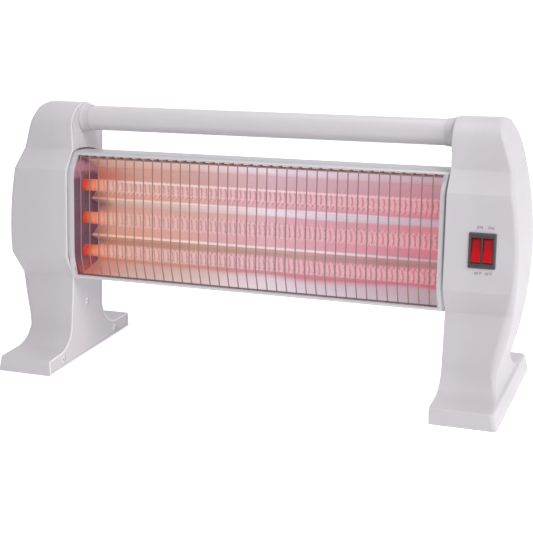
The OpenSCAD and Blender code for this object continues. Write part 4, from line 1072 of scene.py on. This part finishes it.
def build_guard():
    """The guard's wires and its two rods.

    The wires stand straight in the case's window, up to the height of its brow, and bend back
    under it.
    """
    hook_len, sink = 1.5, 0.3
    bends = shift_path(toe_bends, -(SHEET + FINE_GAP + WIRE_D / 2))
    top = on_line(bends[1], bends[2], brow_z - 0.4)
    end = brow + [2.6, -LIP_TOP - WIRE_D / 2 - 0.7]
    path = [on_line(bends[0], bends[1], CASE_LOW_Z + 1.2)]
    path += soft_corner(bends[0], bends[1], bends[2], CASE_BEND_LEN, 6)
    path += between(path[-1], top + hook_len * unit(bends[1] - top), 4)
    path += soft_corner(bends[1], top, end, hook_len, 4) + [end]
    count = int((window_half - 6) // WIRE_PITCH)
    parts = [tube_on([(i * WIRE_PITCH, p[0], p[1]) for p in path], WIRE_D / 2, 10, (1.0, 0.0, 0.02))
             for i in range(-count, count + 1)]
    for a, b, side in ((path[0], path[1], -1), (path[-1], path[-2], 1)):
        at = a + unit(b - a) + side * (WIRE_D / 2 + ROD_D / 2 - sink) * left_of(a, b)
        rod = [(x, at[0], at[1]) for x in (-window_half, 0, window_half)]
        parts.append(tube_on(rod, ROD_D / 2, 14))
    piece("wire_guard", joined(parts), "wire_steel", replaces=["wire_grille"], crisp=50)


# ---- tubes and coils ----

cap_x = end_wall_x + SHEET
tube_end = cap_x + SEAT_DEPTH - SEAT_GAP
stud_x0 = cap_x + SEAT_DEPTH - STUD_HEAD_T


def tube_profile():
    """Cross-section of a tube's wall, with fire-polished ends."""
    outer_r, inner_r, soft = TUBE_D / 2, TUBE_D / 2 - TUBE_WALL, TUBE_WALL / 2
    end_steps, run_steps = 6, 24
    straight = tube_end - soft
    end = [(straight + soft * math.sin(a), (outer_r + inner_r) / 2 + soft * math.cos(a))
           for a in [math.pi * i / end_steps for i in range(end_steps + 1)]]
    runs = [-straight + 2 * straight * i / run_steps for i in range(1, run_steps)]
    return ([(x, outer_r) for x in runs] + end + [(x, inner_r) for x in runs[::-1]]
            + [(-x, r) for x, r in end[::-1]])


def coil_path(at):
    """A straight end, curls that grow out of the axis, and a straight end."""
    per_turn, straight = 14, 4
    last = COIL_TURNS * per_turn
    length = 2 * (stud_x0 - COIL_RUN)
    path = [(-stud_x0, at[0], at[1]), (-stud_x0 + straight, at[0], at[1])]
    for i in range(last + 1):
        a = 2 * math.pi * i / per_turn
        grow = min(1.0, (i + 0.5) / per_turn, (last - i + 0.5) / per_turn)
        r = grow * COIL_D / 2
        x = -length / 2 + length * i / last
        path.append((x, at[0] + r * math.cos(a), at[1] + r * math.sin(a)))
    return path + [(stud_x0 - straight, at[0], at[1]), (stud_x0, at[0], at[1])]


def build_tubes():
    for at, name in zip(tubes, ("top", "middle", "bottom")):
        piece("glass_tube_" + name, lathe_x(tube_profile(), at), "quartz",
              replaces=["quartz_tube_" + name], crisp=60)
        piece("glowing_coil_" + name, tube_on(coil_path(at), COIL_WIRE_D / 2, 8), "coil_wire",
              replaces=["heating_coil_" + name], crisp=60)


# ---- switch ----

well_w, well_h = ROCKER_W + 2 * WELL_GAP, ROCKER_H + 2 * WELL_GAP
rocker_x = (well_w + DIVIDER) / 2
blades = [(-rocker_x, -9), (-rocker_x, 9), (rocker_x, -9), (rocker_x, 0), (rocker_x, 9)]


def bezel_ring(inset, y):
    """The bezel's outline with round corners, drawn in by inset, at depth y."""
    w, h, r = BEZEL_W / 2 - inset, BEZEL_H / 2 - inset, BEZEL_CORNER_R - 0.5 * inset
    out = []
    for cx, cz, start in ((w - r, h - r, 0), (-w + r, h - r, 90), (-w + r, -h + r, 180),
                          (w - r, -h + r, 270)):
        for k in range(6):
            a = math.radians(start + 18 * k)
            out.append((cx + r * math.cos(a), y, cz + r * math.sin(a)))
    return out


def build_switch_body():
    """Frame with a sloping edge round it, on the body that snaps into the housing."""
    face = loft([bezel_ring(0.0, 0.0), bezel_ring(0.0, -0.7), bezel_ring(0.35, -1.25),
                 bezel_ring(1.1, -BEZEL_T)])
    w, h = (CUTOUT_W - CLEARANCE) / 2, (CUTOUT_H - CLEARANCE) / 2
    box = block((-w, -0.02, -h), (w, SWITCH_DEPTH, h))
    tools = [block((side * rocker_x - well_w / 2, -BEZEL_T - 1, -well_h / 2),
                   (side * rocker_x + well_w / 2, WELL_FLOOR, well_h / 2)) for side in (-1, 1)]
    r = PIVOT_D / 2 + 0.1
    tools.append(loft([[(x, PIVOT_DEPTH + r * math.cos(a), r * math.sin(a))
                        for a in angles_round(24)] for x in (-BEZEL_W / 2, BEZEL_W / 2)]))
    thick, wide = BLADE_T / 2 + FINE_GAP, BLADE_W / 2 + FINE_GAP
    tools.append(joined([block((x - thick, SWITCH_DEPTH - BLADE_ROOT, z - wide),
                               (x + thick, SWITCH_DEPTH + 1, z + wide)) for x, z in blades]))
    piece("switch_case", placed(face, switch_matrix()), "switch_plastic",
          replaces=["switch_body"], crisp=30, cuts=[placed(t, switch_matrix()) for t in tools],
          extra=placed(box, switch_matrix()))


def rocker_part(side):
    """A rocker whose face dips softly in the middle and whose ends are round about its pin."""
    dish, face_mid, back, soft, steps = math.radians(8), 1.9, 4.5, 1.2, 16
    limit = ROCKER_H / 2
    face = []
    for i in range(steps + 1):
        z = -limit + ROCKER_H * i / steps
        slope = math.sqrt(z * z + soft ** 2) - soft
        face.append((-face_mid - slope * math.tan(dish), z))
    face = [(y, z) for y, z in face if y * y + z * z <= limit * limit]
    first = math.degrees(math.atan2(face[-1][1], face[-1][0]))
    arc = [(limit * math.cos(math.radians(a)), limit * math.sin(math.radians(a)))
           for a in np.linspace(first, 0, 20)]
    arc = [(y, z) for y, z in arc if y < back and z > 0][1:]
    corner_z = math.sqrt(limit ** 2 - back ** 2)
    outline = face + arc + [(back, corner_z), (back, -corner_z)]
    outline += [(y, -z) for y, z in reversed(arc)]
    tilt = Matrix.Rotation(-math.radians(ROCKER_TRAVEL / 2), 4, "X")
    place = switch_matrix() @ Matrix.Translation((side * rocker_x, PIVOT_DEPTH, 0)) @ tilt
    return placed(extrude_x(outline, (-ROCKER_W / 2, ROCKER_W / 2)), place)


# Strokes of each letter, in a box that is 1 wide and 1 high.
LETTERS = {
    "O": [[(0.5 + 0.5 * math.sin(a), 0.5 + 0.5 * math.cos(a)) for a in
           [2 * math.pi * k / 20 for k in range(21)]]],
    "N": [[(0, 0), (0, 1)], [(0, 1), (1, 0)], [(1, 0), (1, 1)]],
    "F": [[(0, 0), (0, 1)], [(0, 1), (0.95, 1)], [(0, 0.52), (0.75, 0.52)]],
}


def letter_part(letter, x, z, w, h, stroke):
    """Strokes of one letter, printed as a thin film on the front panel."""
    parts = []
    for line in LETTERS[letter]:
        path = [np.array([x + u * w, z + v * h]) for u, v in line]
        if letter == "O":
            middle = np.array([x + w / 2, z + h / 2])
            sides = (path, [middle + (p - middle) * (1 - 2 * stroke / w) for p in path])
        else:
            sides = (shift_path(path, stroke / 2), shift_path(path, -stroke / 2))
        parts.append(loft([[(a[0], -0.05, a[1]), (a[0], 0.02, a[1]),
                            (b[0], 0.02, b[1]), (b[0], -0.05, b[1])] for a, b in zip(*sides)]))
    return joined(parts)


def build_lettering():
    """ON above and OFF below each rocker."""
    letter_h, stroke = 2.6, 0.42
    parts = []
    for side in (-1, 1):
        for word, z, middle, letter_w, gap in (
                ("ON", 19.8, side * (rocker_x - 0.2) + 1.8, 2.1, 0.8),
                ("OFF", -22.2, side * (rocker_x - 0.6) + 1.9, 1.85, 0.65)):
            start = middle - (len(word) * letter_w + (len(word) - 1) * gap) / 2
            for k, letter in enumerate(word):
                x = start + k * (letter_w + gap)
                parts.append(letter_part(letter, x, z, letter_w, letter_h, stroke))
    piece("switch_lettering", placed(joined(parts), switch_matrix()), "switch_plastic",
          look="label_ink", crisp=30)


def build_switch():
    build_switch_body()
    for side, name in ((-1, "left"), (1, "right")):
        piece(name + "_red_rocker", rocker_part(side), "rocker_red",
              body="rocker_" + name, replaces=[name + "_rocker"], bevel=0.35, crisp=40)
    build_lettering()


# ---- nodes that keep their CAD mesh ----

def dress_carried_nodes():
    """Gives each node of the CAD the material of its slot, for those that are shown as they are."""
    for entry in frame["record"]["subparts"]:
        look = "dull_steel" if entry["node"].endswith("_clamp_screws") else entry["material_slot"]
        slots = frame["nodes"][entry["node"]].data.materials
        slots.clear()
        slots.append(materials[look])


# ---- stage, light and camera ----

FLOOR_GLOW, FLOOR_SHOWN, WORLD_LIGHT = 0.155, 0.70, 0.45
PHOTO_PX, FOCAL_PX, SENSOR_W = 533, 1219.4, 36


def backdrop_rays(tree):
    """1 for the rays that see the backdrop: straight, by reflection or through glass."""
    seen = node(tree, "ShaderNodeLightPath").outputs
    return maths(tree, "MAXIMUM", seen["Is Camera Ray"],
                 maths(tree, "MAXIMUM", seen["Is Glossy Ray"], seen["Is Transmission Ray"]))


def build_floor():
    """A plain pale floor that runs out to the horizon and keeps the heater's shadow."""
    reach, z = 30.0, -0.0002
    mesh = bpy.data.meshes.new("floor")
    corners = [(-reach, -reach), (reach, -reach), (reach, reach), (-reach, reach)]
    mesh.from_pydata([(x, y, z) for x, y in corners], [], [[0, 1, 2, 3]])
    floor = bpy.data.objects.new("floor", mesh)
    bpy.context.scene.collection.objects.link(floor)
    tree, shader = blank("pale_floor")
    feed_named(tree, shader.inputs, {
        "Base Color": (0.92, 0.915, 0.92, 1), "Roughness": 0.9, "Specular IOR Level": 0.1})
    strength = maths(tree, "MULTIPLY_ADD", backdrop_rays(tree), FLOOR_SHOWN - FLOOR_GLOW,
                     FLOOR_GLOW)
    lit = node(tree, "ShaderNodeEmission", {"Color": (1, 1, 1, 1), "Strength": strength})
    both = node(tree, "ShaderNodeAddShader", {0: shader.outputs[0], 1: lit.outputs[0]})
    tree.links.new(both.outputs[0], tree.nodes["Material Output"].inputs["Surface"])
    floor.data.materials.append(materials["pale_floor"])


def build_world():
    """Plain light from all round, in front of a white backdrop."""
    world = bpy.data.worlds.new("studio")
    bpy.context.scene.world = world
    world.use_nodes = True
    tree = world.node_tree
    plain = tree.nodes["Background"]
    feed_named(tree, plain.inputs, {"Color": (1, 0.995, 1, 1), "Strength": WORLD_LIGHT})
    white = node(tree, "ShaderNodeBackground", {"Color": (1, 1, 1, 1), "Strength": 1.0})
    mix = node(tree, "ShaderNodeMixShader", {
        0: backdrop_rays(tree), 1: plain.outputs[0], 2: white.outputs[0]})
    tree.links.new(mix.outputs[0], tree.nodes["World Output"].inputs["Surface"])


def soft_lamp(name, place, aim, size, power):
    """A round lamp that shines from its place towards its aim."""
    light = bpy.data.lights.new(name, "AREA")
    light.shape, light.size, light.energy = "DISK", size, power
    lamp = bpy.data.objects.new(name, light)
    bpy.context.scene.collection.objects.link(lamp)
    lamp.location = place
    lamp.rotation_euler = (Vector(aim) - Vector(place)).to_track_quat("-Z", "Y").to_euler()


def build_lights():
    soft_lamp("key_lamp", (1.6, -0.9, 1.7), (0.1, 0, 0.12), 1.3, 24)
    soft_lamp("side_lamp", (2.3, -0.7, 0.6), (-0.1, 0, 0.1), 1.4, 7.5)
    soft_lamp("top_lamp", (0.0, 0.3, 2.4), (0, 0, 0.1), 1.8, 13)


def build_camera():
    """The photo's camera, fitted to the heater's straight edges."""
    azimuth, height, roll = math.radians(21.19), math.radians(15.5), math.radians(-1.1)
    place = Vector((0.432256, -1.09352, 0.434855))
    back = Vector((math.sin(azimuth) * math.cos(height), -math.cos(azimuth) * math.cos(height),
                   math.sin(height)))
    right = (-back).cross(Vector((0, 0, 1))).normalized()
    up = right.cross(-back)
    across = right * math.cos(roll) + up * math.sin(roll)
    upward = up * math.cos(roll) - right * math.sin(roll)
    camera = bpy.data.objects.new("camera", bpy.data.cameras.new("camera"))
    camera.matrix_world = Matrix((
        (across.x, upward.x, back.x, place.x), (across.y, upward.y, back.y, place.y),
        (across.z, upward.z, back.z, place.z), (0, 0, 0, 1)))
    camera.data.lens = SENSOR_W * FOCAL_PX / PHOTO_PX
    camera.data.clip_start, camera.data.clip_end = 0.05, 100
    bpy.context.scene.collection.objects.link(camera)
    bpy.context.scene.camera = camera


dress_carried_nodes()
build_housings()
build_case()
build_mirror()
build_guard()
build_tubes()
build_switch()
build_floor()
build_world()
build_lights()
build_camera()
bpy.context.scene.view_settings.view_transform = "Standard"
